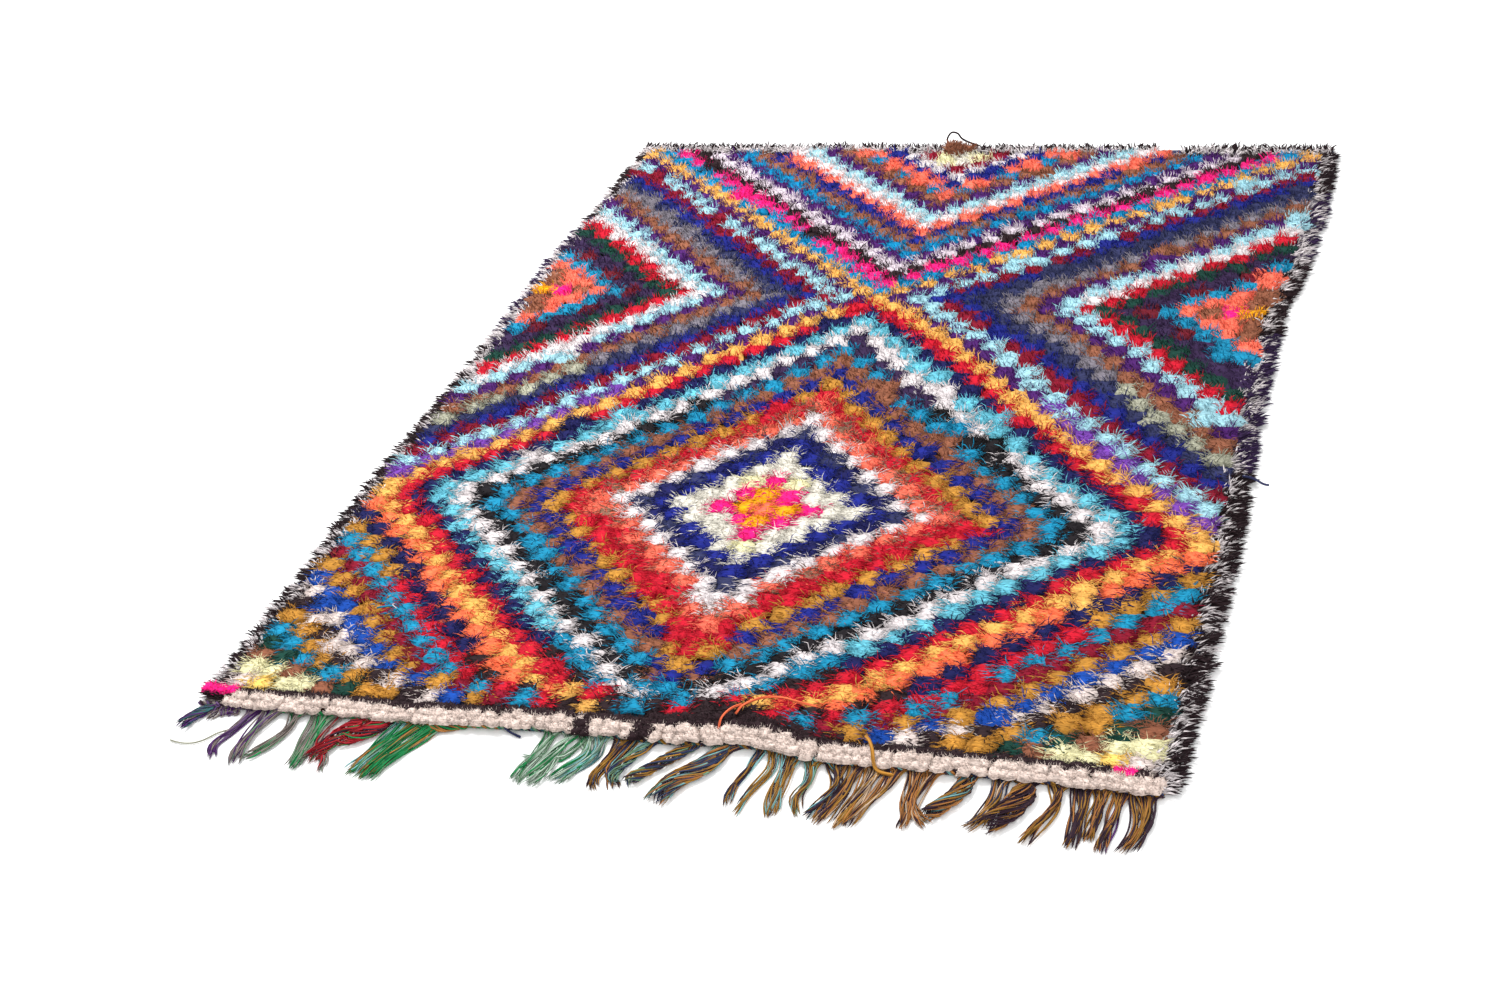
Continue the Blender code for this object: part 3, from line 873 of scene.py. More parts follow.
def makeGround(chart):
    columns = np.arange(-pattern["columns"] - 1.5, pattern["columns"] + 2)
    rows = np.arange(pattern["firstRow"] - 1.5, pattern["lastRow"] + 2)
    columnGrid, rowGrid = np.meshgrid(columns, rows)
    x, y = tuftPlace(columnGrid, rowGrid)
    share = np.clip(y / rug["length"], 0, 1)
    inset = ground["inset"]
    left = -softLine(sideWander, "left", share) + inset
    right = rug["width"] + softLine(sideWander, "right", share) - inset
    x = np.clip(x, left, right)
    y = np.clip(y, nearEdge(x) + 0.002, rug["length"] - inset)
    foot = clothHeight(x, y)
    wide, deep = len(columns), len(rows)
    top = np.stack([x, y, foot + rug["clothThick"]], axis=2).reshape(-1, 3)
    back = np.stack([x, y, foot], axis=2).reshape(-1, 3)
    verts = np.concatenate([top, back])
    index = np.arange(wide * deep).reshape(deep, wide)
    a, b = index[:-1, :-1], index[:-1, 1:]
    c, d = index[1:, 1:], index[1:, :-1]
    under = wide * deep
    upper = np.stack([a, b, c, d], axis=2).reshape(-1, 4)
    lower = np.stack([a, d, c, b], axis=2).reshape(-1, 4) + under
    rim = np.concatenate([index[0, :-1], index[:-1, -1], index[-1, :0:-1], index[:0:-1, 0]])
    after = np.roll(rim, -1)
    sides = np.stack([rim, rim + under, after + under, after], axis=1)
    faces = np.concatenate([upper, lower, sides])

    names = []
    for row in rows[:-1] + 0.5:
        for column in columns[:-1] + 0.5:
            key = (int(np.clip(round(column), -pattern["columns"], pattern["columns"])),
                   int(np.clip(round(row), pattern["firstRow"], pattern["lastRow"])))
            names.append(chart[key])
    tint = np.array([linear(*dyes[name]) for name in names])
    shell = np.array([linear(*dyes["blackBrown"])] * len(sides))
    # painted shade: the top of the cloth between the tufts is darkened; the back keeps more of the dye
    tint = np.concatenate([tint * ground["topShade"], tint * ground["backLight"], shell])
    flat = verts[faces][..., :2]
    low, high = verts[:, :2].min(axis=0), verts[:, :2].max(axis=0)
    layout = (flat - low) / (high - low)
    # on the texture sheet: the top at the left, the back at the right, the rim along the upper edge
    half = len(upper)
    layout[:half, :, 0] = layout[:half, :, 0] * 0.48 + 0.01
    layout[half:2 * half, :, 0] = layout[half:2 * half, :, 0] * 0.48 + 0.51
    layout[:2 * half, :, 1] = layout[:2 * half, :, 1] * 0.95 + 0.01
    steps = np.arange(len(sides)) / len(sides) * 0.98 + 0.01
    width = 0.9 * 0.98 / len(sides)
    layout[2 * half:] = np.stack([
        np.stack([steps, np.full_like(steps, 0.99)], axis=1),
        np.stack([steps, np.full_like(steps, 0.97)], axis=1),
        np.stack([steps + width, np.full_like(steps, 0.97)], axis=1),
        np.stack([steps + width, np.full_like(steps, 0.99)], axis=1)], axis=1)
    colours = {"dye": np.repeat(tint, 4, axis=0)}
    piece = buildMesh("wovenGround", verts, faces, colours, None, {"OFBake": layout}, groundFinish())
    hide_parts("shag")
    print("wovenGround", len(faces), "faces")
    return piece


# Edging on three sides: rows of tufts that lie outwards
edging = {
    "tuftPitch": 0.0092,
    "corners": (0.012, 0.006),  # free lengths before the first tuft and after the last
    "stray": (0.0018, 0.0015),  # along and across the edge
    "shades": (0.8, 1.15),
    "leans": (0.6, 1.3),
    "sway": 0.35,
    "splay": 0.5,
    "rise": 0.8,
    "lengths": (0.85, 1.12),
    "tuftWidth": 0.012,
    "body": 0.0,
    "long": 7,
    "short": 4,
    # painted shade: edging strands darker at the root
    "rootShadeAlong": 0.35,
    "length": 0.0220,
    "shortLength": 0.0180,
    "radius": 0.00175,
    "rootSpread": 0.50,
    "unruly": 0.24,
    "fan": 0.0,
    "slant": 0.0,
}
edgingParts = ("side", "inset", "white", "lean", "length", "share")
edgingRows = [
    # side, metres in from the edge, share of white among the dark, outward lean, length and how
    # many places carry a tuft
    ("left", 0.036, 0.50, 0.9, 0.85, 0.9),
    ("left", 0.027, 0.50, 1.4, 0.95, 0.9),
    ("left", 0.018, 0.22, 1.9, 0.95, 0.9),
    ("right", 0.037, 0.50, 0.7, 0.85, 0.8),
    ("right", 0.029, 0.55, 1.3, 1.05, 0.9),
    ("right", 0.021, 0.20, 1.7, 1.0, 0.9),
    ("right", 0.015, 0.00, 2.0, 0.85, 0.8),
    ("far", 0.040, 0.00, 0.0, 0.60, 0.7),
    ("far", 0.027, 0.97, 0.0, 0.85, 1.0),
    ("far", 0.023, 0.50, 0.2, 0.6, 0.5),
    ("far", 0.014, 0.02, 0.3, 0.85, 1.0),
]
edgeYarns = {
    # the dark yarn changes as the edge was worked, by share of the length
    "left": [(0.55, "blackBrown"), (0.82, "aubergine"), (1.01, "blackBrown")],
    "right": [(0.40, "blackBrown"), (0.62, "aubergine"), (0.76, "blackBrown"), (0.90, "aubergine"),
              (1.01, "blackBrown")],
    "far": [(1.01, "blackBrown")],
}
farGap = (0.765, 0.800)  # shares of the width where the far edging is missing


def edgeYarn(side, share):
    for end, yarn in edgeYarns[side]:
        if share < end:
            return yarn
    return "blackBrown"


def edgingSpots(part):
    side = part["side"]
    span = rug["width"] if side == "far" else rug["length"] - 0.02
    before, after = edging["corners"]
    places = np.arange(before, span - after, edging["tuftPitch"])
    places = places + dice.normal(0, edging["stray"][0], len(places))
    places = places[dice.random(len(places)) < part["share"]]
    share = places / span
    inset = part["inset"] + dice.normal(0, edging["stray"][1], len(places))
    if side == "far":
        keep = (share < farGap[0]) | (share > farGap[1])
        places, share, inset = places[keep], share[keep], inset[keep]
        x, y = places, rug["length"] - inset
        out = np.array((0.0, 1.0))
    elif side == "left":
        x, y = -softLine(sideWander, "left", share) + inset, places
        out = np.array((-1.0, 0.0))
    else:
        x, y = rug["width"] + softLine(sideWander, "right", share) - inset, places
        out = np.array((1.0, 0.0))
    count = len(x)
    names = ["white" if chance < part["white"] else edgeYarn(side, each)
             for each, chance in zip(share, dice.random(count))]
    tint = np.array([linear(*dyes[name]) for name in names])
    lean = part["lean"] * dice.uniform(*edging["leans"], count)
    return {
        "x": x,
        "y": y,
        "tint": tint * dice.uniform(*edging["shades"], (count, 1)),
        "leanX": out[0] * lean + dice.normal(0, edging["sway"], count),
        "leanY": out[1] * lean + dice.normal(0, edging["sway"], count),
        "splayX": np.full(count, edging["splay"]),
        "splayY": np.full(count, edging["splay"]),
        "rise": np.full(count, edging["rise"]),
        "length": part["length"] * dice.uniform(*edging["lengths"], count),
        "pitchX": np.full(count, edging["tuftWidth"]),
        "pitchY": np.full(count, edging["tuftWidth"]),
    }


def makeEdging():
    for side in ("left", "right", "far"):
        batches = []
        for row in edgingRows:
            part = dict(zip(edgingParts, row))
            if part["side"] == side:
                batches.extend(growTufts(edgingSpots(part), edging))
        name = side + "Edging"
        buildYarns(name, batches, pileFinish(name))


# The plush band across the near end, and the dark rows behind it
band = {
    "body": 0.0110,
    "lifts": (0.45, 0.92, 1.0),
    "half": 0.62,
    "corners": 8,
    "ragged": 0.28,
    # painted shade: the band's tufts a little darker at their foot, their strands darker at the root
    "bodyShadeAlong": (0.80, 0.95, 1.0),
    "rootShadeAlong": 0.50,
    "long": 0,
    "short": 40,
    "shortLength": 0.0070,
    "radius": 0.00095,
    "rootSpread": 0.62,
    "unruly": 0.80,
    "fan": 0.0,
    "slant": 0.0,
    "pitch": 0.0088,
    "stray": (0.0022, 0.0016),
    "shades": (0.92, 1.06),
    "sway": (0.10, 0.08),
    "splay": 0.5,
    "rise": 0.8,
    "lengths": (0.92, 1.06),
    "widths": (0.012, 0.019),
    "depths": (0.012, 0.016),
}
bandRows = [
    {"yarn": "pearl", "behind": -0.002, "leanY": -0.20, "ends": (0.050, 1.278), "length": 0.92},
    {"yarn": "pearl", "behind": 0.007, "leanY": 0.00, "ends": (0.058, 1.278), "length": 1.02},
    {"yarn": "blackBrown", "behind": 0.019, "leanY": -0.05, "ends": (0.012, 1.262), "length": 0.95},
    {"yarn": "blackBrown", "behind": 0.031, "leanY": -0.05, "ends": (0.640, 0.890), "length": 0.9},
]
bandPatchesAndShade = {
    # where another yarn takes over in the rows of a yarn, in metres across; in the pearl rows the dark
    # yarn is painted shade filling the two widest creases, the magenta is real
    "pearl": [(0.546, 0.568, "blackBrown"), (0.622, 0.652, "blackBrown")],
    "blackBrown": [(0.004, 0.052, "magenta"), (1.215, 1.248, "magenta")],
}
bandCreases = [
    # place across and half the gap, in metres
    (0.074, 0.003), (0.128, 0.003), (0.198, 0.004), (0.322, 0.004), (0.440, 0.003), (0.490, 0.003),
    (0.606, 0.004), (0.668, 0.005), (0.712, 0.003), (0.845, 0.004), (0.870, 0.004), (0.922, 0.003),
    (0.944, 0.003), (0.964, 0.003), (0.988, 0.004), (1.008, 0.003), (1.030, 0.004), (1.082, 0.005),
    (1.150, 0.004),
]


def bandYarn(place, yarn):
    for start, end, other in bandPatchesAndShade[yarn]:
        if start < place < end:
            return other
    return yarn


def makeBand():
    batches = []
    for part in bandRows:
        x = np.arange(*part["ends"], band["pitch"])
        x = x + dice.normal(0, band["stray"][0], len(x))
        if part["yarn"] == "pearl":
            middle, half = np.array(bandCreases).T
            x = x[(np.abs(x[:, None] - middle) > half).all(axis=1)]
        count = len(x)
        tint = np.array([linear(*dyes[bandYarn(place, part["yarn"])]) for place in x])
        y = nearEdge(x) + part["behind"] + dice.normal(0, band["stray"][1], count)
        spots = {
            "x": x,
            "y": y,
            "tint": tint * dice.uniform(*band["shades"], (count, 1)),
            "leanX": dice.normal(0, band["sway"][0], count),
            "leanY": part["leanY"] + dice.normal(0, band["sway"][1], count),
            "splayX": np.full(count, band["splay"]),
            "splayY": np.full(count, band["splay"]),
            "rise": np.full(count, band["rise"]),
            "length": part["length"] * dice.uniform(*band["lengths"], count),
            "pitchX": dice.uniform(*band["widths"], count),
            "pitchY": dice.uniform(*band["depths"], count),
        }
        batches.extend(growTufts(spots, band))
    buildYarns("endBand", batches, pileFinish("endBand"))


# Fringe: a twined strip along the near edge and yarns in bunches, as the solids have them
fringe = {
    "radius": 0.00130,
    "crowd": 1.6,          # yarns to each one that a bunch is planned with
    "spread": 1.4,         # and its width
    "points": 14,
    "sides": 4,
    "wobble": 0.0022,
    "ragged": 0.07,
}
fringeDyes = {
    "tealGrey": (58, 104, 108),
    "purpleGrey": (104, 76, 122),
    "purple": (92, 44, 116),
    "pebble": (142, 130, 124),
    "leaf": (28, 136, 76),
    "sage": (116, 150, 120),
    "mist": (176, 196, 178),
    "madder": (176, 34, 46),
    "mustard": (166, 120, 50),
    "amber": (178, 118, 62),
    "aqua": (132, 188, 190),
    "prune": (56, 36, 50),
    "inkBlue": (52, 62, 96),
    "sand": (206, 178, 150),
}
bunchParts = ("roots", "way", "yarns", "width", "wind", "dyes")
bunches = [
    # where its yarns leave the strip, its way to the tip, its yarns, its width there, its turns
    # and its dyes; each yarn has two plies
    ((0.016, 0.038), [(0.012, -0.034), (0.000, -0.062)], 13,
     0.017, 0.7, "tealGrey/purple tealGrey/pebble purple/inkBlue"),
    ((0.034, 0.046), [(0.030, -0.040)], 4,
     0.008, 0.0, "pebble/purpleGrey prune/pebble"),
    ((0.046, 0.068), [(0.056, -0.020), (0.058, -0.028)], 8,
     0.017, 0.0, "purple/pebble purpleGrey/pebble"),
    ((0.076, 0.106), [(0.080, -0.060), (0.072, -0.088), (0.080, -0.114)], 10,
     0.013, 0.5, "purple/purpleGrey pebble/purple purpleGrey/pebble"),
    ((0.100, 0.138), [(0.114, -0.050), (0.112, -0.090), (0.118, -0.120)], 13,
     0.017, 0.3, "pebble/purpleGrey pebble/sage purple/pebble"),
    ((0.142, 0.172), [(0.158, -0.040), (0.142, -0.082), (0.122, -0.104)], 11,
     0.014, 0.5, "pebble/sage sage/leaf pebble/pebble"),
    ((0.172, 0.218), [(0.198, -0.056), (0.200, -0.090), (0.200, -0.118)], 14,
     0.019, 0.2, "leaf/pebble leaf/sage pebble/sage"),
    ((0.206, 0.226), [(0.212, -0.060), (0.236, -0.090), (0.242, -0.116)], 6,
     0.010, 0.4, "pebble/madder sage/pebble"),
    ((0.236, 0.266), [(0.240, -0.032), (0.228, -0.064), (0.214, -0.104)], 12,
     0.018, 1.3, "madder/madder madder/prune leaf/madder"),
    ((0.262, 0.298), [(0.278, -0.022), (0.256, -0.044), (0.230, -0.052)], 14,
     0.022, 1.2, "madder/madder madder/prune madder/leaf"),
    ((0.296, 0.326), [(0.300, -0.050), (0.290, -0.084), (0.280, -0.110)], 12,
     0.018, 0.2, "leaf/sage leaf/tealGrey leaf/aqua"),
    ((0.320, 0.368), [(0.326, -0.050), (0.306, -0.090), (0.298, -0.122)], 26,
     0.034, 0.15, "leaf/leaf leaf/sage leaf/leaf leaf/amber"),
    ((0.344, 0.360), [(0.352, -0.030), (0.322, -0.084), (0.312, -0.114)], 6,
     0.010, 0.3, "amber/leaf leaf/mustard"),
    ((0.328, 0.342), [(0.362, -0.010), (0.390, -0.002), (0.404, 0.004)], 8,
     0.011, 2.0, "leaf/amber amber/amber leaf/leaf"),
    ((0.504, 0.532), [(0.514, -0.034), (0.504, -0.070), (0.500, -0.098)], 13,
     0.018, 0.5, "leaf/sage leaf/mist sage/mist"),
    ((0.530, 0.560), [(0.536, -0.030), (0.528, -0.072), (0.520, -0.103)], 13,
     0.018, 0.7, "leaf/mist sage/leaf mist/mist"),
    ((0.552, 0.584), [(0.576, -0.032), (0.562, -0.062), (0.548, -0.092)], 14,
     0.020, 0.6, "leaf/mist leaf/aqua sage/mist"),
    ((0.574, 0.598), [(0.588, -0.030), (0.572, -0.060), (0.552, -0.086)], 8,
     0.012, 0.4, "aqua/leaf sage/aqua mist/tealGrey"),
    ((0.560, 0.568), [(0.548, -0.040), (0.520, -0.042), (0.488, -0.043)], 4,
     0.007, 0.3, "sage/mist leaf/sage"),
    ((0.600, 0.628), [(0.606, -0.040), (0.602, -0.070), (0.608, -0.096)], 11,
     0.016, 0.5, "mustard/mustard mustard/inkBlue prune/mustard"),
    ((0.618, 0.632), [(0.616, -0.050), (0.626, -0.070), (0.636, -0.088)], 6,
     0.013, 0.3, "amber/prune aqua/mustard inkBlue/prune"),
    ((0.638, 0.660), [(0.634, -0.030), (0.626, -0.062), (0.636, -0.082)], 8,
     0.012, 1.4, "inkBlue/sage mustard/inkBlue aqua/sage"),
    ((0.690, 0.716), [(0.680, -0.030), (0.656, -0.060), (0.646, -0.080)], 10,
     0.014, 2.0, "mustard/inkBlue inkBlue/sage mustard/prune"),
    ((0.716, 0.780), [(0.730, -0.034), (0.704, -0.066), (0.690, -0.112)], 24,
     0.024, 1.0, "mustard/inkBlue prune/sage mustard/aqua inkBlue/amber"),
    ((0.786, 0.800), [(0.788, -0.030), (0.780, -0.066), (0.784, -0.102)], 7,
     0.010, 0.5, "mustard/inkBlue mustard/prune aqua/inkBlue"),
    ((0.804, 0.820), [(0.816, -0.026), (0.802, -0.070), (0.796, -0.116)], 7,
     0.010, 0.4, "mustard/mustard mustard/inkBlue aqua/mustard"),
    ((0.822, 0.852), [(0.836, -0.040), (0.838, -0.080), (0.842, -0.110)], 13,
     0.018, 0.3, "mustard/mustard mustard/aqua mustard/prune"),
    ((0.852, 0.878), [(0.868, -0.040), (0.862, -0.070), (0.872, -0.104)], 10,
     0.014, 0.4, "mustard/sage prune/mustard mustard/aqua"),
    ((0.878, 0.908), [(0.904, -0.040), (0.892, -0.078), (0.880, -0.104)], 11,
     0.015, 0.5, "prune/inkBlue mustard/prune aqua/prune"),
    ((0.904, 0.934), [(0.914, -0.050), (0.904, -0.086), (0.896, -0.114)], 13,
     0.019, 0.3, "prune/mustard amber/prune sand/prune"),
    ((0.926, 0.962), [(0.938, -0.044), (0.928, -0.086), (0.922, -0.118)], 16,
     0.022, 0.4, "amber/prune mustard/sand sand/prune mustard/mustard"),
    ((0.950, 0.984), [(0.960, -0.040), (0.944, -0.076), (0.930, -0.110)], 10,
     0.015, 0.3, "sand/amber prune/amber mustard/prune"),
    ((0.980, 1.006), [(0.996, -0.050), (1.000, -0.080), (1.000, -0.106)], 11,
     0.014, 0.3, "amber/amber sand/prune amber/prune"),
    ((0.998, 1.026), [(1.004, -0.050), (1.010, -0.076), (1.030, -0.098)], 10,
     0.013, 0.5, "amber/sand prune/amber mustard/prune"),
    ((1.034, 1.072), [(1.052, -0.030), (1.034, -0.062), (1.016, -0.084)], 14,
     0.018, 1.5, "tealGrey/amber prune/mustard aqua/prune amber/prune"),
    ((1.084, 1.108), [(1.096, -0.040), (1.084, -0.070), (1.066, -0.092)], 12,
     0.019, 0.4, "mustard/inkBlue mustard/amber sand/prune"),
    ((1.108, 1.148), [(1.124, -0.034), (1.110, -0.064), (1.086, -0.094)], 20,
     0.026, 1.1, "prune/prune prune/mustard prune/amber"),
    ((1.150, 1.180), [(1.166, -0.036), (1.152, -0.074), (1.138, -0.112)], 12,
     0.016, 0.5, "mustard/prune prune/amber mustard/mustard"),
    ((1.178, 1.206), [(1.196, -0.040), (1.196, -0.076), (1.192, -0.108)], 13,
     0.018, 0.3, "mustard/prune amber/prune prune/prune"),
    ((1.204, 1.228), [(1.216, -0.034), (1.214, -0.068), (1.212, -0.096)], 11,
     0.014, 0.3, "mustard/prune amber/amber prune/mustard"),
    ((1.226, 1.250), [(1.236, -0.046), (1.230, -0.080), (1.230, -0.110)], 12,
     0.016, 0.4, "prune/purple mustard/prune amber/prune"),
    ((1.246, 1.284), [(1.270, -0.040), (1.266, -0.072), (1.252, -0.108)], 17,
     0.024, 0.3, "mustard/prune mustard/amber prune/prune"),
]


def yarnNumber(bunch):
    return round(bunch["yarns"] * fringe["crowd"])


def bunchPaths(bunch):
    yarns = yarnNumber(bunch)
    radius = fringe["radius"]
    wide = bunch["width"] * fringe["spread"]
    rank = (np.arange(yarns)[:, None] + dice.uniform(-0.3, 0.3, (yarns, 1))) / (yarns - 1) - 0.5
    left, right = bunch["roots"]
    middle = (left + right) / 2
    start = float(nearEdge(middle)) - 0.005
    dense = np.linspace(0, 1, 60)
    centre = smoothPath([(middle, start), (middle, start - 0.008), *bunch["way"]], 60)
    cut = dice.uniform(1 - 2 * fringe["ragged"], 1, (yarns, 1))
    share = np.linspace(0, 1, fringe["points"]) * cut
    x = np.interp(share, dense, centre[:, 0])
    y = np.interp(share, dense, centre[:, 1])
    ways = np.gradient(centre, axis=0)
    ways /= np.linalg.norm(ways, axis=1, keepdims=True)
    gathered = ease(np.clip(share * 2.2, 0, 1))
    sideX = 1 + (np.interp(share, dense, -ways[:, 1]) - 1) * gathered
    sideY = np.interp(share, dense, ways[:, 0]) * gathered
    width = (right - left) + (wide - (right - left)) * gathered
    wound = 2 * np.pi * (bunch["wind"] * share + rank)
    turning = np.clip(bunch["wind"], 0, 1) * gathered
    phase = dice.uniform(0, 2 * np.pi, (yarns, 1))
    wobble = fringe["wobble"] * gathered * np.sin(share * dice.uniform(6, 14, (yarns, 1)) + phase)
    across = rank * width * (1 - turning) + np.cos(wound) * width * 0.40 * turning + wobble
    x = x + sideX * across
    y = y + sideY * across
    layers = int(np.clip(round(2.2 * radius * yarns / wide), 1, 4))
    layer = dice.permutation(yarns)[:, None] % layers
    stacked = layer * 1.8 * radius * np.sin(np.pi * np.clip(share, 0.04, 0.92)) ** 0.5
    raised = (1 + np.sin(wound)) * min(0.20 * wide, 0.0035)
    drop = 0.0035 * np.clip(1 - share * 6, 0, 1)
    z = radius + 0.0003 + stacked * (1 - turning) + raised * turning + drop
    return np.stack([x, y, z], axis=2)


def bunchDyes(bunch):
    pairs = [pair.split("/") for pair in bunch["dyes"].split()]
    count = yarnNumber(bunch)
    chosen = [pairs[each] for each in dice.integers(len(pairs), size=count)]
    shade = dice.uniform(0.80, 1.12, (count, 1))
    return [np.array([linear(*fringeDyes[pair[ply]]) for pair in chosen]) * shade for ply in (0, 1)]


def makeFringe():
    batches = []
    for row in bunches:
        bunch = dict(zip(bunchParts, row))
        paths = bunchPaths(bunch)
        tint, mate = bunchDyes(bunch)
        taper = np.full(fringe["points"] - 1, 1.0)
        taper[-1] = 0.8
        radii = fringe["radius"] * taper * dice.uniform(0.85, 1.15, (len(paths), 1))
        up = np.tile((0.0, 0.0, 1.0), (len(paths), 1))
        batch = growTubes(paths, radii, fringe["sides"], tint, up)
        batch["mate"] = np.repeat(mate, len(batch["verts"]) // len(paths), axis=0)
        batches.append(batch)
    piece = buildYarns("fringeYarns", batches, plyFinish("fringeYarns"), withPly=True)
    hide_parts("fringe")


strip = {
    "start": 0.005,
    "end": 1.287,
    "middle": 0.0052,      # metres in front of the near edge
    "height": 0.0045,
    "coil": 0.0021,
    "pitch": 0.0150,
    "radius": 0.0019,
    "perPitch": 6,
    "sides": 5,
}
stripDyes = [
    # share of the width up to which the strip keeps its yarns
    {"end": 0.10, "yarns": "purpleGrey pebble prune"},
    {"end": 0.24, "yarns": "sage pebble leaf"},
    {"end": 0.34, "yarns": "leaf amber sage"},
    {"end": 0.48, "yarns": "tealGrey prune sage"},
    {"end": 0.66, "yarns": "mustard tealGrey prune"},
    {"end": 0.80, "yarns": "prune amber aqua"},
    {"end": 1.01, "yarns": "prune mustard inkBlue"},
]


def stripTint(x, strand):
    for part in stripDyes:
        if x / rug["width"] < part["end"]:
            return linear(*fringeDyes[part["yarns"].split()[strand]])


def makeStrip():
    # three yarns wound round each other along the edge
    batches = []
    count = int((strip["end"] - strip["start"]) / strip["pitch"] * strip["perPitch"])
    x = np.linspace(strip["start"], strip["end"], count)
    for strand in range(3):
        turn = 2 * np.pi * (x / strip["pitch"] + strand / 3)
        y = nearEdge(x) - strip["middle"] + strip["coil"] * np.cos(turn)
        z = strip["height"] + strip["coil"] * np.sin(turn)
        paths = np.stack([x, y, z], axis=1)[None]
        radii = np.full((1, count - 1), strip["radius"])
        radii[0, 0] = radii[0, -1] = strip["radius"] * 0.6
        ringTint = np.array([stripTint(each, strand) for each in x[:-1]])
        tint = np.concatenate([np.repeat(ringTint, strip["sides"], axis=0), ringTint[-1:]])[None]
        up = np.array([(0.0, 0.0, 1.0)])
        batches.append(growTubes(paths, radii, strip["sides"], tint, up))
    buildYarns("twinedStrip", batches, plyFinish("twinedStrip"), withPly=True)


# Stray yarns: ends that were left long, as a few points each (x, y, height)
strays = {
    "coralEnd": {"dye": "coral", "radius": 0.0016, "points": [
        (0.750, 0.048, 0.024), (0.758, 0.060, 0.030), (0.779, 0.073, 0.033), (0.801, 0.078, 0.032),
        (0.826, 0.074, 0.030), (0.853, 0.071, 0.028)]},
    "coralTuftEnd": {"dye": "coral", "radius": 0.0015, "points": [
        (0.735, 0.024, 0.018), (0.736, 0.036, 0.026), (0.744, 0.050, 0.030), (0.756, 0.062, 0.030)]},
    "ochreEnd": {"dye": "ochre", "radius": 0.0024, "points": [
        (0.922, 0.034, 0.020), (0.930, 0.022, 0.024), (0.937, 0.008, 0.022), (0.941, -0.004, 0.013),
        (0.949, -0.012, 0.007), (0.970, -0.015, 0.005)]},
    "turquoiseEnd": {"dye": "turquoise", "radius": 0.0014, "points": [
        (0.172, 0.205, 0.020), (0.185, 0.198, 0.028), (0.202, 0.200, 0.029), (0.218, 0.192, 0.024)]},
    "whiteThread": {"dye": "white", "radius": 0.0007, "points": [
        (0.196, 0.212, 0.024), (0.200, 0.202, 0.030), (0.210, 0.194, 0.030)]},
    "darkEnd": {"dye": "slate", "radius": 0.0016, "points": [
        (1.285, 0.655, 0.014), (1.300, 0.652, 0.013), (1.314, 0.646, 0.009), (1.322, 0.648, 0.006)]},
    "leftThread": {"dye": "stone", "radius": 0.0011, "points": [
        (0.082, -0.052, 0.004), (0.064, -0.060, 0.002), (0.050, -0.078, 0.002), (0.034, -0.086, 0.002),
        (0.016, -0.086, 0.002), (0.002, -0.083, 0.002)]},
    "smallDark": {"dye": "slate", "radius": 0.0016, "points": [
        (0.452, 0.000, 0.006), (0.462, -0.004, 0.003), (0.478, -0.010, 0.002)]},
    "farLoop": {"dye": "blackBrown", "radius": 0.0018, "points": [
        (0.616, 1.694, 0.016), (0.612, 1.702, 0.028), (0.620, 1.706, 0.039), (0.632, 1.704, 0.038),
        (0.640, 1.700, 0.030), (0.655, 1.696, 0.024), (0.675, 1.694, 0.018)]},
}


def makeStrays():
    batches = []
    for stray in strays.values():
        path = smoothPath(stray["points"], 25)[None]
        radii = np.full((1, 24), stray["radius"])
        tint = linear(*dyes[stray["dye"]])[None]
        facing = np.array([(0.0, 0.1, 1.0)])
        batches.append(growTubes(path, radii, 6, tint, facing))
    buildYarns("strayEnds", batches, plyFinish("strayEnds"), withPly=True)


farTuft = {
    "x": 0.630,
    "y": 1.672,
    "number": 6,
    "strayX": (-0.014, 0.02),
    "strayY": (-0.012, 0.012),
    "shades": (0.8, 1.1),
    "lean": 0.1,
    "sway": (0.15, 0.1),
    "splay": 0.6,
    "rise": 0.9,
    "lengths": (0.85, 1.1),
    "width": 0.026,
    "body": 0.020,
    "half": 0.5,
    "corners": 10,
    "ragged": 0.15,
    "lifts": (0.30, 0.85, 1.0),
    # painted shade: the bundle's mass much darker at its foot, its strands darker at the root
    "bodyShadeAlong": (0.20, 0.40, 0.45),
    "rootShadeAlong": 0.25,
    "long": 16,
    "short": 40,
    "length": 0.016,
    "shortLength": 0.012,
    "radius": 0.0012,
    "rootSpread": 0.45,
    "unruly": 0.35,
    "fan": 0.0,
    "slant": 0.0,
}


def makeFarTuft():
    # a thick brown bundle that stands above the far edge
    count = farTuft["number"]
    tint = np.array([linear(*dyes["brown"])] * count)
    spots = {
        "x": farTuft["x"] + dice.uniform(*farTuft["strayX"], count),
        "y": farTuft["y"] + dice.uniform(*farTuft["strayY"], count),
        "tint": tint * dice.uniform(*farTuft["shades"], (count, 1)),
        "leanX": dice.normal(farTuft["lean"], farTuft["sway"][0], count),
        "leanY": dice.normal(farTuft["lean"], farTuft["sway"][1], count),
        "splayX": np.full(count, farTuft["splay"]),
        "splayY": np.full(count, farTuft["splay"]),
        "rise": np.full(count, farTuft["rise"]),
        "length": dice.uniform(*farTuft["lengths"], count),
        "pitchX": np.full(count, farTuft["width"]),
        "pitchY": np.full(count, farTuft["width"]),
    }
    buildYarns("farBundle", growTufts(spots, farTuft), pileFinish("farBundle"))


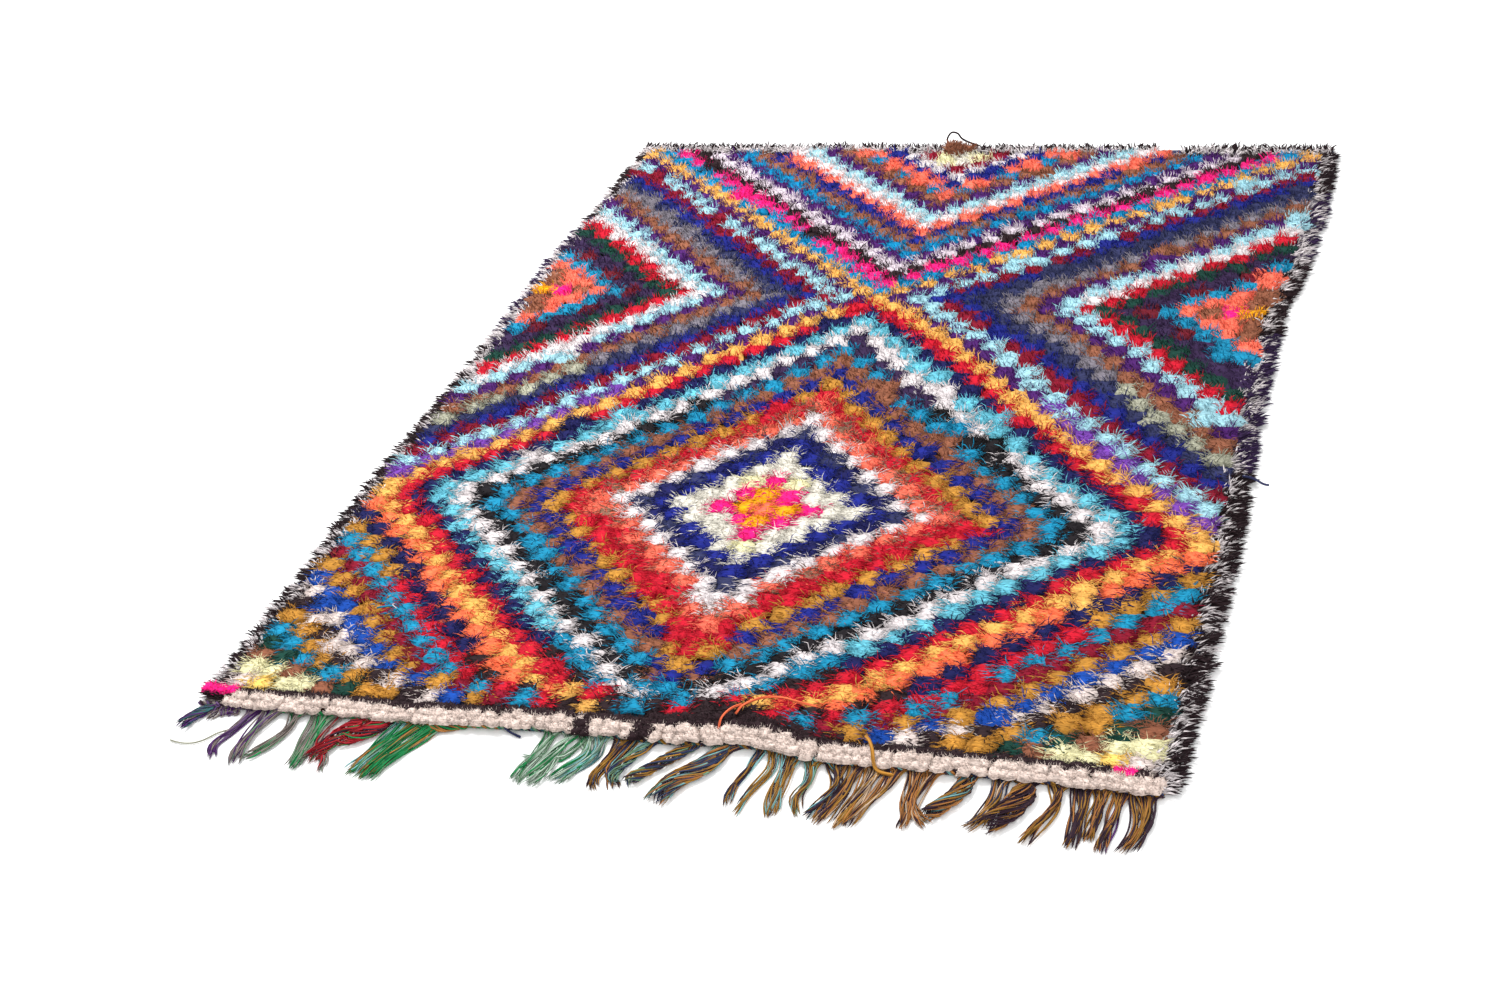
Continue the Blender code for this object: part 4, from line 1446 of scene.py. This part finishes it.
studio = {
    "floorSize": 14.0,
    "floorColours": ((0.92, 0.92, 0.92), (0.94, 0.94, 0.94)),
    "worldLight": 0.80,
    "lens": 53.6,
    "eye": (1.2873, -1.4902, 1.3238),     # in rug widths from the near left corner
    "right": (0.9409, 0.3080, -0.1410),
    "forward": (-0.3341, 0.7747, -0.5368),
}
lamps = {
    # energy in watts, place and size in metres, all aimed at the rug's middle
    "keyLamp": {"energy": 150.0, "place": (-1.6, 1.2, 3.0), "size": 1.2},
    "fillLamp": {"energy": 50.0, "place": (2.0, -2.4, 2.2), "size": 2.6},
}


def makeStudio():
    half = studio["floorSize"] / 2
    mesh = bpy.data.meshes.new("floor")
    corners = [(-half, -half, 0), (half, -half, 0), (half, half, 0), (-half, half, 0)]
    mesh.from_pydata(corners, [], [(0, 1, 2, 3)])
    finish, start, shader = newFinish("pale floor", 0.7)
    place = start.node("ShaderNodeTexCoord", out=3)
    cloud = start.node("ShaderNodeTexNoise", {}, {"Vector": place, "Scale": 1.5})
    stops = list(zip((0.0, 1.0), studio["floorColours"]))
    shade = start.node("ShaderNodeValToRGB", {"stops": stops}, {"Fac": cloud})
    feed(shade, shader, "Base Color")
    mesh.materials.append(finish)
    floor = bpy.data.objects.new("floor", mesh)
    bpy.context.scene.collection.objects.link(floor)

    world = bpy.data.worlds.new("studio")
    world.use_nodes = True
    back = world.node_tree.nodes["Background"]
    back.inputs["Color"].default_value = (1.0, 1.0, 1.0, 1.0)
    back.inputs["Strength"].default_value = studio["worldLight"]
    bpy.context.scene.world = world

    for name, lamp in lamps.items():
        light = bpy.data.lights.new(name, "AREA")
        light.energy = lamp["energy"]
        light.size = lamp["size"]
        thing = bpy.data.objects.new(name, light)
        thing.location = lamp["place"]
        thing.rotation_euler = (-Vector(lamp["place"])).to_track_quat("-Z", "Y").to_euler()
        bpy.context.scene.collection.objects.link(thing)

    right = Vector(studio["right"]).normalized()
    forward = Vector(studio["forward"]).normalized()
    up = right.cross(forward)
    lens = bpy.data.cameras.new("camera")
    lens.lens = studio["lens"]
    lens.sensor_width = 36.0
    camera = bpy.data.objects.new("camera", lens)
    turn = Matrix((right, up, -forward)).transposed()
    eye = Vector(studio["eye"]) * rug["width"] + Vector(corner)
    camera.matrix_world = Matrix.Translation(eye) @ turn.to_4x4()
    bpy.context.scene.collection.objects.link(camera)
    bpy.context.scene.camera = camera
    bpy.context.scene.view_settings.view_transform = "Standard"


makeStudio()
print("studio ready")
chart = makePile()
print("pile ready")
cloth = makeGround(chart)
makeEdging()
makeBand()
print("cloth and edging ready")
makeStrip()
makeFringe()
makeStrays()
makeFarTuft()
print("fringe ready")

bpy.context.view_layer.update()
total = sum(len(piece.data.loop_triangles) for piece in pieces.values())
print("pieces", len(pieces), "triangles", total)
